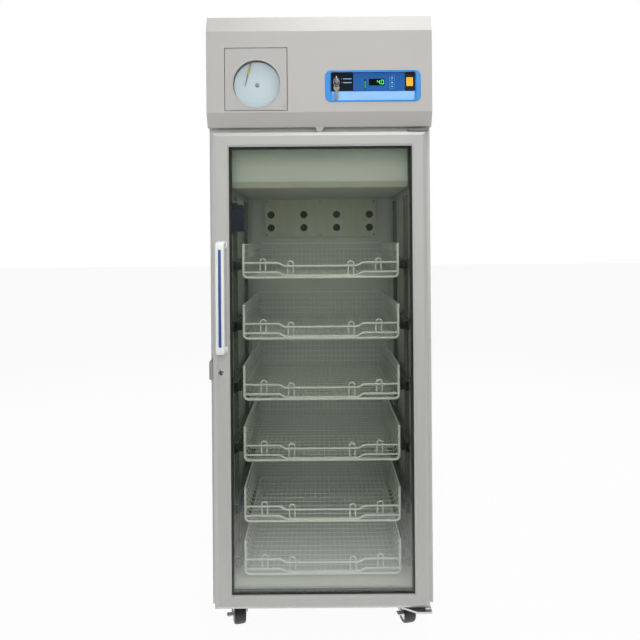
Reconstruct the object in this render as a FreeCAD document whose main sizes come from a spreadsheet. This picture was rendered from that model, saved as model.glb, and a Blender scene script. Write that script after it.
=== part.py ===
"""Upright single-door pharmacy refrigerator with six wire drawers, as a parametric document.

Millimetres. +Z is up, -Y is the front, +X is the right hand of someone who faces the door.
The origin lies on the floor, under the middle of the whole refrigerator.
"""

import FreeCAD, Part
import math
import os
import re
import Sketcher

Vector = FreeCAD.Vector

# How far a cutting tool runs past the surface that it cuts
PAST = 1.0

SIZES = {
    # Foamed cabinet
    "case_width": 711.0,
    "head_height": 334.0,
    "base_clearance": 112.0,
    "cavity_width": 610.0,
    "cavity_height": 1450.0,
    "cavity_depth": 724.0,
    "floor_wall": 48.0,
    "top_wall": 50.0,
    "rear_wall": 60.0,
    "skin": 1.2,
    "liner_sheet": 2.0,
    "skin_flange": 27.0,
    "flange_seam": 0.5,
    "bumper_length": 27.0,
    "bumper_side": 32.0,
    "bumper_inset": 60.0,
    "bumper_rise": 190.0,
    # Head cover, hinged along its top edge
    "cover_sheet": 2.0,
    "cover_gap": 2.5,
    "cover_overlap": 16.0,
    "bevel_depth": 22.0,
    "top_bevel_height": 51.0,
    "bottom_bevel_height": 44.0,
    "tab_width": 31.0,
    "tab_drop": 15.0,
    "head_setback": 2.0,
    "cover_pin_radius": 3.0,
    "cover_pin_back": 8.5,
    "cover_pin_down": 9.0,
    "ear_thickness": 3.0,
    "ear_play": 0.7,
    "ear_half": 4.7,
    "ear_drop": 40.0,
    "ear_foot": 25.0,
    "pin_play": 0.05,
    # Chart recorder
    "recorder_side": 195.0,
    "recorder_x": -199.0,
    "recorder_rise": 132.5,
    "recorder_gap": 2.0,
    "recorder_plate": 3.0,
    "recorder_hinge_inset": 12.0,
    "recorder_hinge_depth": 6.0,
    "knuckle_length": 9.0,
    "knuckle_gap": 0.3,
    "recorder_case_wall": 4.0,
    "recorder_case_depth": 34.0,
    "recorder_case_back": 3.0,
    "window_x": -197.0,
    "window_rise": 118.0,
    "window_radius": 74.5,
    "window_lap": 4.0,
    "window_sheet": 2.0,
    "chart_radius": 73.5,
    "chart_depth": 22.0,
    "chart_sheet": 1.0,
    "chart_hub_radius": 7.0,
    "pen_pivot_x": -213.0,
    "pen_pivot_rise": 202.0,
    "pen_tip_x": -235.0,
    "pen_tip_rise": 114.0,
    "pen_post_radius": 2.5,
    "pen_depth": 15.5,
    "pen_sheet": 1.5,
    "pen_root_width": 8.0,
    "pen_end_width": 3.0,
    "pen_nib_gap": 0.5,
    # Control panel
    "panel_left": 18.0,
    "panel_rise": 59.0,
    "panel_width": 302.0,
    "panel_height": 100.0,
    "panel_corner": 19.0,
    "panel_proud": 2.0,
    "panel_lap": 6.0,
    "panel_body_depth": 20.0,
    "cutout_play": 0.3,
    "recess_left": 19.0,
    "recess_right": 17.0,
    "recess_top": 5.0,
    "recess_bottom": 35.0,
    "recess_depth": 12.0,
    "lip_bottom": 7.0,
    "lip_depth": 9.0,
    "keypad_sheet": 3.0,
    "keypad_play": 0.3,
    "display_x": 181.3,
    "display_rise": 122.3,
    "display_width": 49.0,
    "display_height": 21.0,
    "status_x": 145.0,
    "status_rise": 116.0,
    "status_width": 5.0,
    "status_height": 31.0,
    "lens_proud": 0.4,
    "button_x": 230.0,
    "button_top_rise": 135.0,
    "button_pitch": 14.0,
    "button_width": 14.0,
    "button_height": 11.0,
    "button_gap": 0.35,
    "button_proud": 1.6,
    "button_travel": 1.0,
    "rocker_x": 285.6,
    "rocker_rise": 122.5,
    "rocker_width": 21.0,
    "rocker_height": 27.5,
    "rocker_heel": 10.0,
    "rocker_gap": 0.5,
    "rocker_swing_gap": 1.6,
    "rocker_proud": 2.0,
    "rocker_pivot_depth": 4.0,
    "rocker_heel_depth": 1.5,
    "switch_x": 54.0,
    "switch_rise": 127.0,
    "switch_radius": 9.0,
    "switch_proud": 5.0,
    "key_plug_radius": 5.0,
    "key_plug_proud": 1.0,
    "key_bow_radius": 11.0,
    "key_bow_sheet": 2.4,
    "key_bow_reach": 8.0,
    "key_slot_width": 2.4,
    "key_slot_height": 5.6,
    "key_neck": 8.0,
    "ring_radius": 9.0,
    "ring_wire": 0.9,
    "spare_bow_radius": 10.0,
    "spare_blade_width": 7.0,
    "spare_blade_length": 30.0,
    # Machinery in the head
    "compressor_radius": 95.0,
    "compressor_height": 190.0,
    "compressor_x": -170.0,
    "compressor_y": 160.0,
    "compressor_foot": 14.0,
    "tray_sheet": 2.0,
    "tray_inset": 8.0,
    "condenser_x": 150.0,
    "condenser_y": -190.0,
    "condenser_width": 300.0,
    "condenser_height": 270.0,
    "condenser_depth": 66.0,
    "shroud_depth": 40.0,
    "shroud_sheet": 3.0,
    "head_fan_radius": 110.0,
    "fan_hub_radius": 26.0,
    "fan_tip_gap": 4.0,
    "fan_width": 24.0,
    "fan_blade_sheet": 2.0,
    "fan_blade_angle": 30.0,
    "fan_root_share": 0.7,
    "fan_blades": 5,
    "motor_side": 60.0,
    "motor_gap": 0.3,
    "motor_length": 34.0,
    "strut_width": 16.0,
    "grille_sheet": 1.2,
    "grille_slots": 11,
    "grille_slot_height": 10.0,
    "grille_pitch": 22.0,
    "grille_border": 34.0,
    "inlet_gap": 0.3,
    "inlet_inset": 63.5,
    "inlet_rise": 40.0,
    "inlet_width": 34.0,
    "inlet_height": 26.0,
    "inlet_proud": 8.0,
    "inlet_socket_width": 25.0,
    "inlet_socket_height": 17.0,
    "inlet_socket_depth": 18.0,
    "inlet_body_depth": 30.0,
    "inlet_blade_width": 4.0,
    "inlet_blade_sheet": 2.0,
    "inlet_blade_pitch": 7.0,
    # Cooling unit under the cavity ceiling
    "housing_width": 584.0,
    "housing_setback": 60.0,
    "housing_sheet": 2.0,
    "fascia_height": 129.0,
    "housing_height": 150.0,
    "diffuser_setback": 12.0,
    "diffuser_lens": 4.0,
    "duct_width": 480.0,
    "duct_height": 161.0,
    "duct_depth": 30.0,
    "duct_sheet": 1.5,
    "duct_hole_radius": 13.5,
    "duct_hole_pitch": 141.0,
    "duct_hole_row": 56.0,
    "duct_hole_rise": 40.0,
    "bottle_width": 42.0,
    "bottle_height": 77.0,
    "bottle_drop": 144.0,
    "bottle_setback": 121.0,
    # Drawers
    "drawer_width": 522.7,
    "drawer_height": 117.0,
    "drawer_depth": 570.0,
    "drawer_setback": 60.0,
    "drawer_pitch": 202.8,
    "drawers_above": 5,
    "lowest_drawer_z": 170.0,
    "second_drawer_z": 346.0,
    "post_wire": 7.5,
    "rail_wire": 6.0,
    "loop_wire": 4.5,
    "floor_wire": 4.0,
    "floor_wires": 10,
    "floor_pitch": 52.8,
    "cross_wire": 5.0,
    "cross_wires": 5,
    "cross_first": 81.0,
    "cross_pitch": 115.0,
    "side_windows": 3,
    "back_windows": 2,
    "side_sheet": 4.0,
    "corner_cut": 10.0,
    "lower_rail_z": 21.6,
    "upper_rail_z": 53.0,
    "rail_step_down": 11.0,
    "rail_step_start": 121.0,
    "rail_step_run": 20.0,
    "loop_width": 23.0,
    "inner_loop_x": 101.0,
    "outer_loop_x": 193.0,
    "inner_loop_top": 60.0,
    "outer_loop_top": 68.5,
    "pilaster_width": 28.0,
    "pilaster_depth": 12.0,
    "pilaster_end_gap": 20.0,
    "pilaster_inset": 120.0,
    "track_height": 35.0,
    "track_depth": 14.0,
    "track_sheet": 1.5,
    "track_rise": 44.0,
    "runner_play": 0.3,
    "runner_web": 2.0,
    "runner_arm": 4.0,
    # Door
    "door_thickness": 45.0,
    "door_height": 1504.0,
    "door_rise": 10.0,
    "door_inset_left": 13.5,
    "door_inset_right": 18.5,
    "left_stile": 54.0,
    "right_stile": 46.0,
    "top_rail": 45.0,
    "bottom_rail": 42.0,
    "outer_bevel_share": 0.26,
    "outer_bevel_depth": 9.0,
    "inner_bevel_share": 0.13,
    "inner_bevel_depth": 5.0,
    "rebate_share": 0.26,
    "lip_depth_door": 12.0,
    "bead_lap": 10.5,
    "bead_show": 5.0,
    "bead_front": 2.0,
    "pane_lap": 8.5,
    "pane_thickness": 4.0,
    "pane_spacing": 12.0,
    "gasket_thickness": 10.0,
    "gasket_width": 12.0,
    "gasket_inset": 3.0,
    "gasket_clearance": 0.4,
    "hinge_x_inset": 6.0,
    "hinge_y_inset": 15.0,
    "hinge_pin_radius": 4.0,
    "hinge_pin_depth": 18.0,
    "hinge_plate": 6.0,
    "hinge_plate_lap": 12.0,
    "hinge_plate_width": 116.0,
    "hinge_plate_nose": 34.0,
    "hinge_spacer": 16.0,
    "hinge_gap": 0.3,
    "hinge_top_width": 60.0,
    "hinge_leaf": 6.0,
    "hinge_leaf_height": 13.0,
    "handle_reach": 50.0,
    "handle_inset": 31.5,
    "handle_bottom": 932.0,
    "handle_length": 350.0,
    "handle_width": 28.0,
    "handle_bar": 15.0,
    "handle_post": 17.0,
    "handle_corner": 5.0,
    "insert_width": 9.0,
    "insert_inset": 24.0,
    "insert_depth": 2.0,
    "lock_inset": 25.0,
    "lock_z": 869.0,
    "lock_radius": 6.5,
    "lock_proud": 1.0,
    "lock_depth": 20.0,
    "keyway_width": 1.6,
    "keyway_length": 8.0,
    "keyway_depth": 3.0,
    "strike_height": 60.0,
    "strike_middle_z": 875.0,
    "strike_depth": 45.0,
    "strike_gap": 1.2,
    "strike_side_inset": 0.8,
    "strike_slot_height": 22.0,
    "strike_slot_depth": 14.0,
    # Casters
    "caster_inset": 73.5,
    "front_caster_shift": 4.5,
    "front_caster_y": 68.0,
    "rear_caster_y": 70.0,
    "caster_turn": 14.0,
    "wheel_radius": 38.0,
    "wheel_width": 38.0,
    "caster_trail": 20.0,
    "fork_sheet": 3.0,
    "fork_gap": 0.3,
    "fork_crown": 4.0,
    "fork_radius": 24.0,
    "fork_leg_width": 22.0,
    "fork_heel": 16.0,
    "plate_side": 88.0,
    "plate_thickness": 4.0,
    "swivel_gap": 0.3,
    "brake_arm_half": 9.0,
    "brake_length": 34.0,
    "brake_width": 18.0,
    "brake_pedal_depth": 20.0,
    "brake_sheet": 3.0,
}

PLACES = {
    "half_depth": "(handle_reach + door_thickness + gasket_thickness + cavity_depth + rear_wall"
    " + bumper_length) / 2",
    "handle_front": "-half_depth",
    "door_front": "handle_front + handle_reach",
    "door_back": "door_front + door_thickness",
    "case_front": "door_back + gasket_thickness",
    "cavity_back": "case_front + cavity_depth",
    "case_back": "cavity_back + rear_wall",
    "bumper_back": "case_back + bumper_length",
    "case_half": "case_width / 2",
    "cavity_half": "cavity_width / 2",
    "case_bottom": "base_clearance",
    "cavity_floor": "case_bottom + floor_wall",
    "cavity_top": "cavity_floor + cavity_height",
    "case_top": "cavity_top + top_wall",
    "liner_flange_half": "case_half - skin_flange - flange_seam",
    # Head
    "head_floor": "case_top",
    "overall_height": "case_top + head_height",
    "recorder_z": "head_floor + recorder_rise",
    "window_z": "head_floor + window_rise",
    "pen_pivot_z": "head_floor + pen_pivot_rise",
    "pen_tip_z": "head_floor + pen_tip_rise",
    "panel_bottom": "head_floor + panel_rise",
    "display_z": "head_floor + display_rise",
    "status_z": "head_floor + status_rise",
    "button_top_z": "head_floor + button_top_rise",
    "rocker_z": "head_floor + rocker_rise",
    "switch_z": "head_floor + switch_rise",
    "inlet_x": "inlet_inset - case_half",
    "inlet_z": "head_floor + inlet_rise",
    "cover_face": "door_front",
    "cover_back": "case_front - cover_gap",
    "cover_bottom": "case_top - cover_overlap",
    "cover_pin_y": "cover_back - cover_pin_back",
    "cover_pin_z": "overall_height - cover_pin_down",
    "ear_outside": "case_half - cover_sheet - ear_play",
    "head_front": "case_front + head_setback",
    "recorder_left": "recorder_x - recorder_side / 2",
    "recorder_right": "recorder_x + recorder_side / 2",
    "recorder_bottom": "recorder_z - recorder_side / 2",
    "recorder_top": "recorder_z + recorder_side / 2",
    "recorder_axis_x": "recorder_left + recorder_hinge_inset",
    "recorder_axis_y": "cover_face + recorder_hinge_depth",
    "recorder_case_front": "cover_face + cover_sheet",
    "recorder_case_end": "recorder_case_front + recorder_case_depth",
    "recorder_back_face": "recorder_case_end - recorder_case_back",
    "chart_face": "cover_face + chart_depth",
    "pen_face": "cover_face + pen_depth",
    "panel_right": "panel_left + panel_width",
    "panel_top": "panel_bottom + panel_height",
    "panel_front": "cover_face - panel_proud",
    "key_left": "panel_left + recess_left",
    "key_right": "panel_right - recess_right",
    "key_bottom": "panel_bottom + recess_bottom",
    "key_top": "panel_top - recess_top",
    "recess_back": "panel_front + recess_depth",
    "keypad_front": "recess_back - keypad_sheet",
    "button_rear": "recess_back - button_travel - runner_play",
    "rocker_axis_y": "recess_back + rocker_pivot_depth",
    "rocker_heel_y": "rocker_axis_y + rocker_heel_depth",
    "switch_front": "keypad_front - switch_proud",
    "bow_y": "switch_front - key_plug_proud - key_bow_reach",
    "condenser_back": "condenser_y + condenser_depth / 2",
    "tray_top": "head_floor + tray_sheet",
    "condenser_middle_z": "tray_top + condenser_height / 2",
    "head_fan_y": "condenser_back + shroud_depth / 2",
    "motor_front": "head_fan_y + fan_width / 2 + motor_gap",
    # Cavity
    "housing_front": "case_front + housing_setback",
    "housing_floor": "cavity_top - housing_height",
    "fascia_bottom": "cavity_top - fascia_height",
    "duct_top": "housing_floor - flange_seam",
    "duct_front": "cavity_back - duct_depth",
    "bottle_z": "housing_floor - bottle_drop",
    "drawer_front": "case_front + drawer_setback",
    "drawer_back": "drawer_front + drawer_depth",
    "drawer_half": "drawer_width / 2",
    "pilaster_inside": "cavity_half - pilaster_depth",
    "track_inside": "pilaster_inside - track_depth",
    "front_pilaster_y": "drawer_front + pilaster_inset",
    "rear_pilaster_y": "drawer_back - pilaster_inset",
    "runner_half": "track_height / 2 - track_sheet - runner_play",
    "rail_back": "(post_wire + rail_wire) / 2",
    # Door
    "door_left": "-case_half + door_inset_left",
    "door_right": "case_half - door_inset_right",
    "door_bottom": "case_bottom + door_rise",
    "door_top": "door_bottom + door_height",
    "glass_left": "door_left + left_stile",
    "glass_right": "door_right - right_stile",
    "glass_bottom": "door_bottom + bottom_rail",
    "glass_top": "door_top - top_rail",
    "bead_face": "door_front + lip_depth_door",
    "front_pane": "bead_face + bead_front",
    "rear_pane": "front_pane + pane_thickness + pane_spacing",
    "bead_back": "rear_pane + pane_thickness + bead_front + bead_front",
    "hinge_x": "door_right - hinge_x_inset",
    "hinge_y": "door_front + hinge_y_inset",
    "handle_x": "door_left + handle_inset",
    "handle_top": "handle_bottom + handle_length",
    "handle_rear": "handle_front + handle_bar",
    "lock_x": "door_left + lock_inset",
    "strike_left": "-case_half + strike_side_inset",
    "strike_right": "door_left - strike_gap",
    "strike_bottom": "strike_middle_z - strike_height / 2",
    "strike_top": "strike_middle_z + strike_height / 2",
    # Casters
    "caster_x": "case_half - caster_inset",
    "plate_bottom": "case_bottom - plate_thickness",
    "front_swivel_y": "case_front + front_caster_y",
    "rear_swivel_y": "case_back - rear_caster_y",
    "fork_half": "wheel_width / 2 + fork_gap",
    "fork_top": "plate_bottom - swivel_gap",
}

doc = FreeCAD.newDocument("PharmacyRefrigerator")
sizes = doc.addObject("Spreadsheet::Sheet", "Sizes")
places = doc.addObject("Spreadsheet::Sheet", "Places")
nodes = []


def spelled(text):
    """Give each named size or place in an expression the sheet that it stands in."""

    def with_sheet(match):
        word = match.group(0)
        if word in SIZES:
            return "Sizes." + word
        if word in PLACES:
            return "Places." + word
        return word

    return re.sub(r"[a-z][a-z_]*", with_sheet, str(text))


def fill_sheets():
    """Write the driving sizes and, from them, the places that other pieces refer to."""
    for row, (name, number) in enumerate(SIZES.items(), start=1):
        sizes.set(f"A{row}", name)
        sizes.set(f"B{row}", str(number))
        sizes.setAlias(f"B{row}", name)
    for row, (name, formula) in enumerate(PLACES.items(), start=1):
        places.set(f"A{row}", name)
        places.setAlias(f"B{row}", name)
        places.set(f"B{row}", "=" + spelled(formula))
    doc.recompute()


def value(name):
    """The number behind one named size or place."""
    sheet = sizes if name in SIZES else places
    return float(sheet.get(name))


def bind(item, prop, text):
    item.setExpression(prop, spelled(text))


def keep(item, label):
    """Name a finished sub-part, so that it gets its own file."""
    item.Label = label
    nodes.append(item)
    return item


def around(middle, size, play="0"):
    """The span of a size centred on a place, widened by a play on both sides."""
    return (f"{middle} - {size} / 2 - {play}", f"{middle} + {size} / 2 + {play}")


def box(name, x, y, z):
    """A block between pairs of named places along X, Y and Z."""
    block = doc.addObject("Part::Box", name)
    for side, axis, (low, high) in zip(("Length", "Width", "Height"), "xyz", (x, y, z)):
        bind(block, side, f"({high}) - ({low})")
        bind(block, f"Placement.Base.{axis}", low)
    return block


TURNS = {
    "x": FreeCAD.Rotation(Vector(0, 1, 0), 90),
    "y": FreeCAD.Rotation(Vector(1, 0, 0), -90),
    "z": FreeCAD.Rotation(),
}


def rod(name, axis, middle, radius, span):
    """A round bar along an axis; middle gives its place on the other two axes, in X, Y, Z order."""
    bar = doc.addObject("Part::Cylinder", name)
    bar.Placement = FreeCAD.Placement(Vector(), TURNS[axis])
    others = [letter for letter in "xyz" if letter != axis]
    for letter, place in zip(others, middle):
        bind(bar, f"Placement.Base.{letter}", place)
    bind(bar, f"Placement.Base.{axis}", span[0])
    bind(bar, "Radius", radius)
    bind(bar, "Height", f"({span[1]}) - ({span[0]})")
    return bar


def fuse(name, *pieces):
    joined = doc.addObject("Part::MultiFuse", name)
    joined.Shapes = list(pieces)
    joined.Refine = True
    return joined


def cut(name, base, *tools):
    """The base without its tools."""
    rest = doc.addObject("Part::Cut", name)
    rest.Base = base
    rest.Tool = tools[0] if len(tools) == 1 else fuse(name + "_tools", *tools)
    return rest


def group(name, *pieces):
    """Several solids that are one sub-part."""
    held = doc.addObject("Part::Compound", name)
    held.Links = list(pieces)
    return held


def frame(name, outer_x, outer_z, inner_x, inner_z, y):
    """A rectangular ring that faces along Y."""
    through = (f"({y[0]}) - {PAST}", f"({y[1]}) + {PAST}")
    hole = box(name + "_inner", inner_x, through, inner_z)
    return cut(name, box(name + "_outer", outer_x, y, outer_z), hole)


def sketch_in(body, role, lift, name):
    """A sketch on one of the body's own origin planes, lifted along the plane's normal."""
    sketch = body.newObject("Sketcher::SketchObject", name)
    plane = next(item for item in body.Origin.OriginFeatures if item.Role == role)
    sketch.AttachmentSupport = (plane, [""])
    sketch.MapMode = "FlatFace"
    bind(sketch, "AttachmentOffset.Base.z", lift)
    return sketch


def measure(text):
    """The present number of an expression, for a sketch's first drawing of itself."""
    number = sizes.evalExpression(spelled(text))
    return float(getattr(number, "Value", number))


def outline(sketch, points):
    """A closed run of lines through points whose two coordinates are expressions."""
    drawn = [(measure(u), measure(v)) for u, v in points]
    first = sketch.GeometryCount
    count = len(points)
    for index in range(count):
        start, end = drawn[index], drawn[(index + 1) % count]
        sketch.addGeometry(Part.LineSegment(Vector(*start, 0), Vector(*end, 0)), False)
    for index in range(count):
        following = first + (index + 1) % count
        sketch.addConstraint(Sketcher.Constraint("Coincident", first + index, 2, following, 1))
    for index, (texts, numbers) in enumerate(zip(points, drawn)):
        for kind, text, number in zip(("DistanceX", "DistanceY"), texts, numbers):
            tie = sketch.addConstraint(Sketcher.Constraint(kind, -1, 1, first + index, 1, number))
            bind(sketch, f"Constraints[{tie}]", text)


def rectangle(sketch, u, v):
    outline(sketch, [(u[0], v[0]), (u[1], v[0]), (u[1], v[1]), (u[0], v[1])])


def circle(sketch, u, v, radius):
    """A circle whose centre and radius are expressions."""
    number = sketch.GeometryCount
    middle = Vector(measure(u), measure(v), 0)
    sketch.addGeometry(Part.Circle(middle, Vector(0, 0, 1), measure(radius)), False)
    for kind, text in (("DistanceX", u), ("DistanceY", v)):
        tie = sketch.addConstraint(Sketcher.Constraint(kind, -1, 1, number, 3, measure(text)))
        bind(sketch, f"Constraints[{tie}]", text)
    tie = sketch.addConstraint(Sketcher.Constraint("Radius", number, measure(radius)))
    bind(sketch, f"Constraints[{tie}]", radius)


def eight_sided(flat, across, up, reach):
    """Eight-sided outline about a place, whose flats lie a reach away from it."""
    corner = f"{reach} * tan(22.5 deg)"
    rounds = [(reach, corner), (corner, reach)]
    rounds += [(f"-({x})", z) for x, z in reversed(rounds)]
    rounds += [(f"-({x})", f"-({z})") for x, z in rounds]
    outline(flat, [(f"{across} + ({x})", f"{up} + ({z})") for x, z in rounds])


def feature(body, kind, sketch, length, name, reverse=False, both_ways=False):
    """Pad or pocket a sketch by a named length, and make the result the body's tip."""
    made = body.newObject("PartDesign::" + kind, name)
    made.Profile = sketch
    made.Reversed = reverse
    made.Midplane = both_ways
    bind(made, "Length", length)
    body.Tip = made
    doc.recompute()
    return made


def rounded(body, base, radius, name, chosen):
    """Round the edges of the base that the given test picks."""
    made = body.newObject("PartDesign::Fillet", name)
    picked = [f"Edge{n}" for n, edge in enumerate(base.Shape.Edges, start=1) if chosen(edge)]
    made.Base = (base, picked)
    bind(made, "Radius", radius)
    body.Tip = made
    doc.recompute()
    return made


def runs_along(axis):
    """A test for straight edges that run along one axis."""

    def test(edge):
        if edge.Curve.TypeId != "Part::GeomLine":
            return False
        return abs(getattr(edge.tangentAt(edge.FirstParameter), axis)) > 0.99

    return test


def own_shape(name, shape):
    """A sub-part whose surface neither a primitive nor a sketch gives."""
    item = doc.addObject("Part::Feature", name)
    item.Shape = shape
    return item


def closed_wire(points):
    return Part.makePolygon([*points, points[0]])


def closed_face(points):
    return Part.Face(closed_wire(points))


# Cabinet


def outer_case():
    """Folded steel skin: a box that is open at the front, with a flange round the opening."""
    whole = box(
        "case_block",
        ("-case_half", "case_half"),
        ("case_front", "case_back"),
        ("case_bottom", "case_top"),
    )
    hollow = box(
        "case_hollow",
        ("-case_half + skin", "case_half - skin"),
        ("case_front + skin", "case_back - skin"),
        ("case_bottom + skin", "case_top - skin"),
    )
    mouth = box(
        "case_mouth",
        ("-case_half + skin_flange", "case_half - skin_flange"),
        (f"case_front - {PAST}", f"case_front + skin + {PAST}"),
        ("case_bottom + skin_flange", "case_top - skin_flange"),
    )
    keep(cut("outer_case", whole, hollow, mouth), "outer_case")


def insulation():
    """Rigid foam between the skin and the liner."""
    block = box(
        "foam_block",
        ("-case_half + skin", "case_half - skin"),
        ("case_front + liner_sheet", "case_back - skin"),
        ("case_bottom + skin", "case_top - skin"),
    )
    hollow = box(
        "foam_hollow",
        ("-cavity_half - liner_sheet", "cavity_half + liner_sheet"),
        (f"case_front - {PAST}", "cavity_back + liner_sheet"),
        ("cavity_floor - liner_sheet", "cavity_top + liner_sheet"),
    )
    keep(cut("insulation", block, hollow), "insulation")


def inner_liner():
    """Cavity liner with a front flange that meets the skin's flange at a fine seam."""
    tub = box(
        "liner_tub",
        ("-cavity_half - liner_sheet", "cavity_half + liner_sheet"),
        ("case_front", "cavity_back + liner_sheet"),
        ("cavity_floor - liner_sheet", "cavity_top + liner_sheet"),
    )
    flange = box(
        "liner_flange",
        ("-liner_flange_half", "liner_flange_half"),
        ("case_front", "case_front + liner_sheet"),
        ("case_bottom + skin_flange + flange_seam", "case_top - skin_flange - flange_seam"),
    )
    cavity = box(
        "liner_cavity",
        ("-cavity_half", "cavity_half"),
        (f"case_front - {PAST}", "cavity_back"),
        ("cavity_floor", "cavity_top"),
    )
    keep(cut("inner_liner", fuse("liner_outside", tub, flange), cavity), "inner_liner")


def rear_bumpers():
    """Four square blocks that keep the back clear of a wall."""
    blocks = []
    for side, sign in (("left", "-"), ("right", "")):
        for level, height in (("low", "case_bottom + bumper_rise"), ("high", "case_top - bumper_rise")):
            across = around(f"{sign}(case_half - bumper_inset)", "bumper_side")
            upright = around(f"({height})", "bumper_side")
            blocks.append(box(f"bumper_{side}_{level}", across, ("case_back", "bumper_back"), upright))
    keep(group("rear_bumpers", *blocks), "rear_bumpers")


def head_frame():
    """Sides and top of the machine compartment, with the ears and pins that carry the cover."""
    shell = cut(
        "head_shell",
        box(
            "head_block",
            ("-case_half", "case_half"),
            ("head_front", "case_back"),
            ("head_floor", "overall_height"),
        ),
        box(
            "head_hollow",
            ("-case_half + skin", "case_half - skin"),
            (f"head_front - {PAST}", f"case_back + {PAST}"),
            (f"head_floor - {PAST}", "overall_height - skin"),
        ),
    )
    pieces = [shell]
    for side, sign in (("left", -1), ("right", 1)):

        def across(near, far, mirrored=sign):
            return (near, far) if mirrored > 0 else (f"-({far})", f"-({near})")

        inside = "ear_outside - ear_thickness"
        arm_front = "cover_pin_y - ear_half"
        arm_back = "cover_pin_y + ear_half"
        arm_low = "cover_pin_z - ear_drop"
        arm = box(
            f"ear_arm_{side}",
            across(inside, "ear_outside"),
            (arm_front, arm_back),
            (arm_low, "cover_pin_z + ear_half"),
        )
        link = box(
            f"ear_link_{side}",
            across(inside, "ear_outside"),
            (f"{arm_back} - {PAST}", "head_front + ear_foot"),
            (arm_low, f"{arm_low} + ear_foot"),
        )
        foot = box(
            f"ear_foot_{side}",
            across(f"ear_outside - {PAST}", "case_half - skin / 2"),
            ("head_front + head_setback", "head_front + ear_foot"),
            (arm_low, f"{arm_low} + ear_foot"),
        )
        pin_span = across(f"ear_outside - {PAST}", "case_half - skin / 4")
        pin = rod(f"cover_pin_{side}", "x", ("cover_pin_y", "cover_pin_z"), "cover_pin_radius", pin_span)
        pieces += [arm, link, foot, pin]
    keep(fuse("head_frame", *pieces), "head_frame")


def rear_grille():
    """Slotted panel that closes the back of the machine compartment."""
    body = doc.addObject("PartDesign::Body", "rear_grille")
    plate = sketch_in(body, "XZ_Plane", "-case_back", "grille_outline")
    rectangle(
        plate,
        ("-case_half + skin + flange_seam", "case_half - skin - flange_seam"),
        ("head_floor", "overall_height - skin - flange_seam"),
    )
    rectangle(
        plate,
        around("inlet_x", "inlet_width", "inlet_gap"),
        around("inlet_z", "inlet_height", "inlet_gap"),
    )
    feature(body, "Pad", plate, "grille_sheet", "grille_plate")
    slot = sketch_in(body, "XZ_Plane", "-(case_back + grille_sheet)", "grille_slot_outline")
    low = "head_floor + grille_border"
    rectangle(
        slot,
        ("-case_half + 3 * grille_border", "case_half - grille_border"),
        (low, f"{low} + grille_slot_height"),
    )
    first = feature(body, "Pocket", slot, "3 * grille_sheet", "grille_slot", both_ways=True)
    rows = body.newObject("PartDesign::LinearPattern", "grille_slots")
    rows.Originals = [first]
    rows.Direction = (slot, ["V_Axis"])
    bind(rows, "Length", "grille_pitch * (grille_slots - 1)")
    bind(rows, "Occurrences", "grille_slots")
    body.Tip = rows
    keep(body, "rear_grille")


def fan_wheel():
    """Axial fan whose axis runs along Y through its own origin, with flat blades that widen outwards."""
    hub_radius = value("fan_hub_radius")
    tip_radius = value("head_fan_radius") - value("fan_tip_gap")
    half = value("fan_width") / 2
    sheet = value("fan_blade_sheet")
    count = int(value("fan_blades"))
    turn = math.radians(value("fan_blade_angle"))
    along = Vector(math.cos(turn), math.sin(turn), 0)
    across = Vector(-math.sin(turn), math.cos(turn), 0) * sheet
    tip_reach = half / math.sin(turn) - sheet
    root_reach = tip_reach * value("fan_root_share")
    root = Vector(0, 0, hub_radius - sheet)
    tip = Vector(0, 0, tip_radius)
    start = across * -0.5
    blade_face = closed_face(
        [
            start + root - along * root_reach,
            start + root + along * root_reach,
            start + tip + along * tip_reach,
            start + tip - along * tip_reach,
        ]
    )
    blades = []
    for index in range(count):
        blade = blade_face.extrude(across)
        blade.rotate(Vector(), Vector(0, 1, 0), 360 * index / count)
        blades.append(blade)
    hub = Part.makeCylinder(hub_radius, 2 * half, Vector(0, -half, 0), Vector(0, 1, 0))
    return hub.fuse(blades).removeSplitter()


def condenser():
    """Finned condenser block with a fan shroud behind it and a strut that holds the fan's motor."""
    sides = around("condenser_x", "condenser_width")
    tall = ("tray_top", "tray_top + condenser_height")
    back = "condenser_back + shroud_depth"
    core = box("condenser_core", sides, ("condenser_y - condenser_depth / 2", "condenser_back"), tall)
    shroud = cut(
        "shroud",
        box("shroud_block", sides, ("condenser_back", back), tall),
        rod(
            "shroud_throat",
            "y",
            ("condenser_x", "condenser_middle_z"),
            "head_fan_radius",
            (f"condenser_back - {PAST}", f"{back} + {PAST}"),
        ),
    )
    level = around("condenser_middle_z", "strut_width")
    strut_back = "motor_front + motor_length"
    strut = cut(
        "motor_strut",
        box("strut_block", sides, (back, strut_back), level),
        box(
            "strut_gap",
            around("condenser_x", "condenser_width", "-shroud_sheet"),
            (f"{back} - {PAST}", f"{strut_back} - shroud_sheet"),
            around("condenser_middle_z", "strut_width", str(PAST)),
        ),
    )
    motor = box(
        "fan_motor",
        around("condenser_x", "motor_side"),
        ("motor_front", f"{strut_back} - shroud_sheet"),
        around("condenser_middle_z", "motor_side"),
    )
    keep(fuse("condenser", core, shroud, strut, motor), "condenser")


def condenser_fan():
    """Fan that turns in the shroud, in front of its motor."""
    wheel = own_shape("condenser_fan", fan_wheel())
    bind(wheel, "Placement.Base.x", "condenser_x")
    bind(wheel, "Placement.Base.y", "head_fan_y")
    bind(wheel, "Placement.Base.z", "condenser_middle_z")
    keep(wheel, "condenser_fan")


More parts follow.
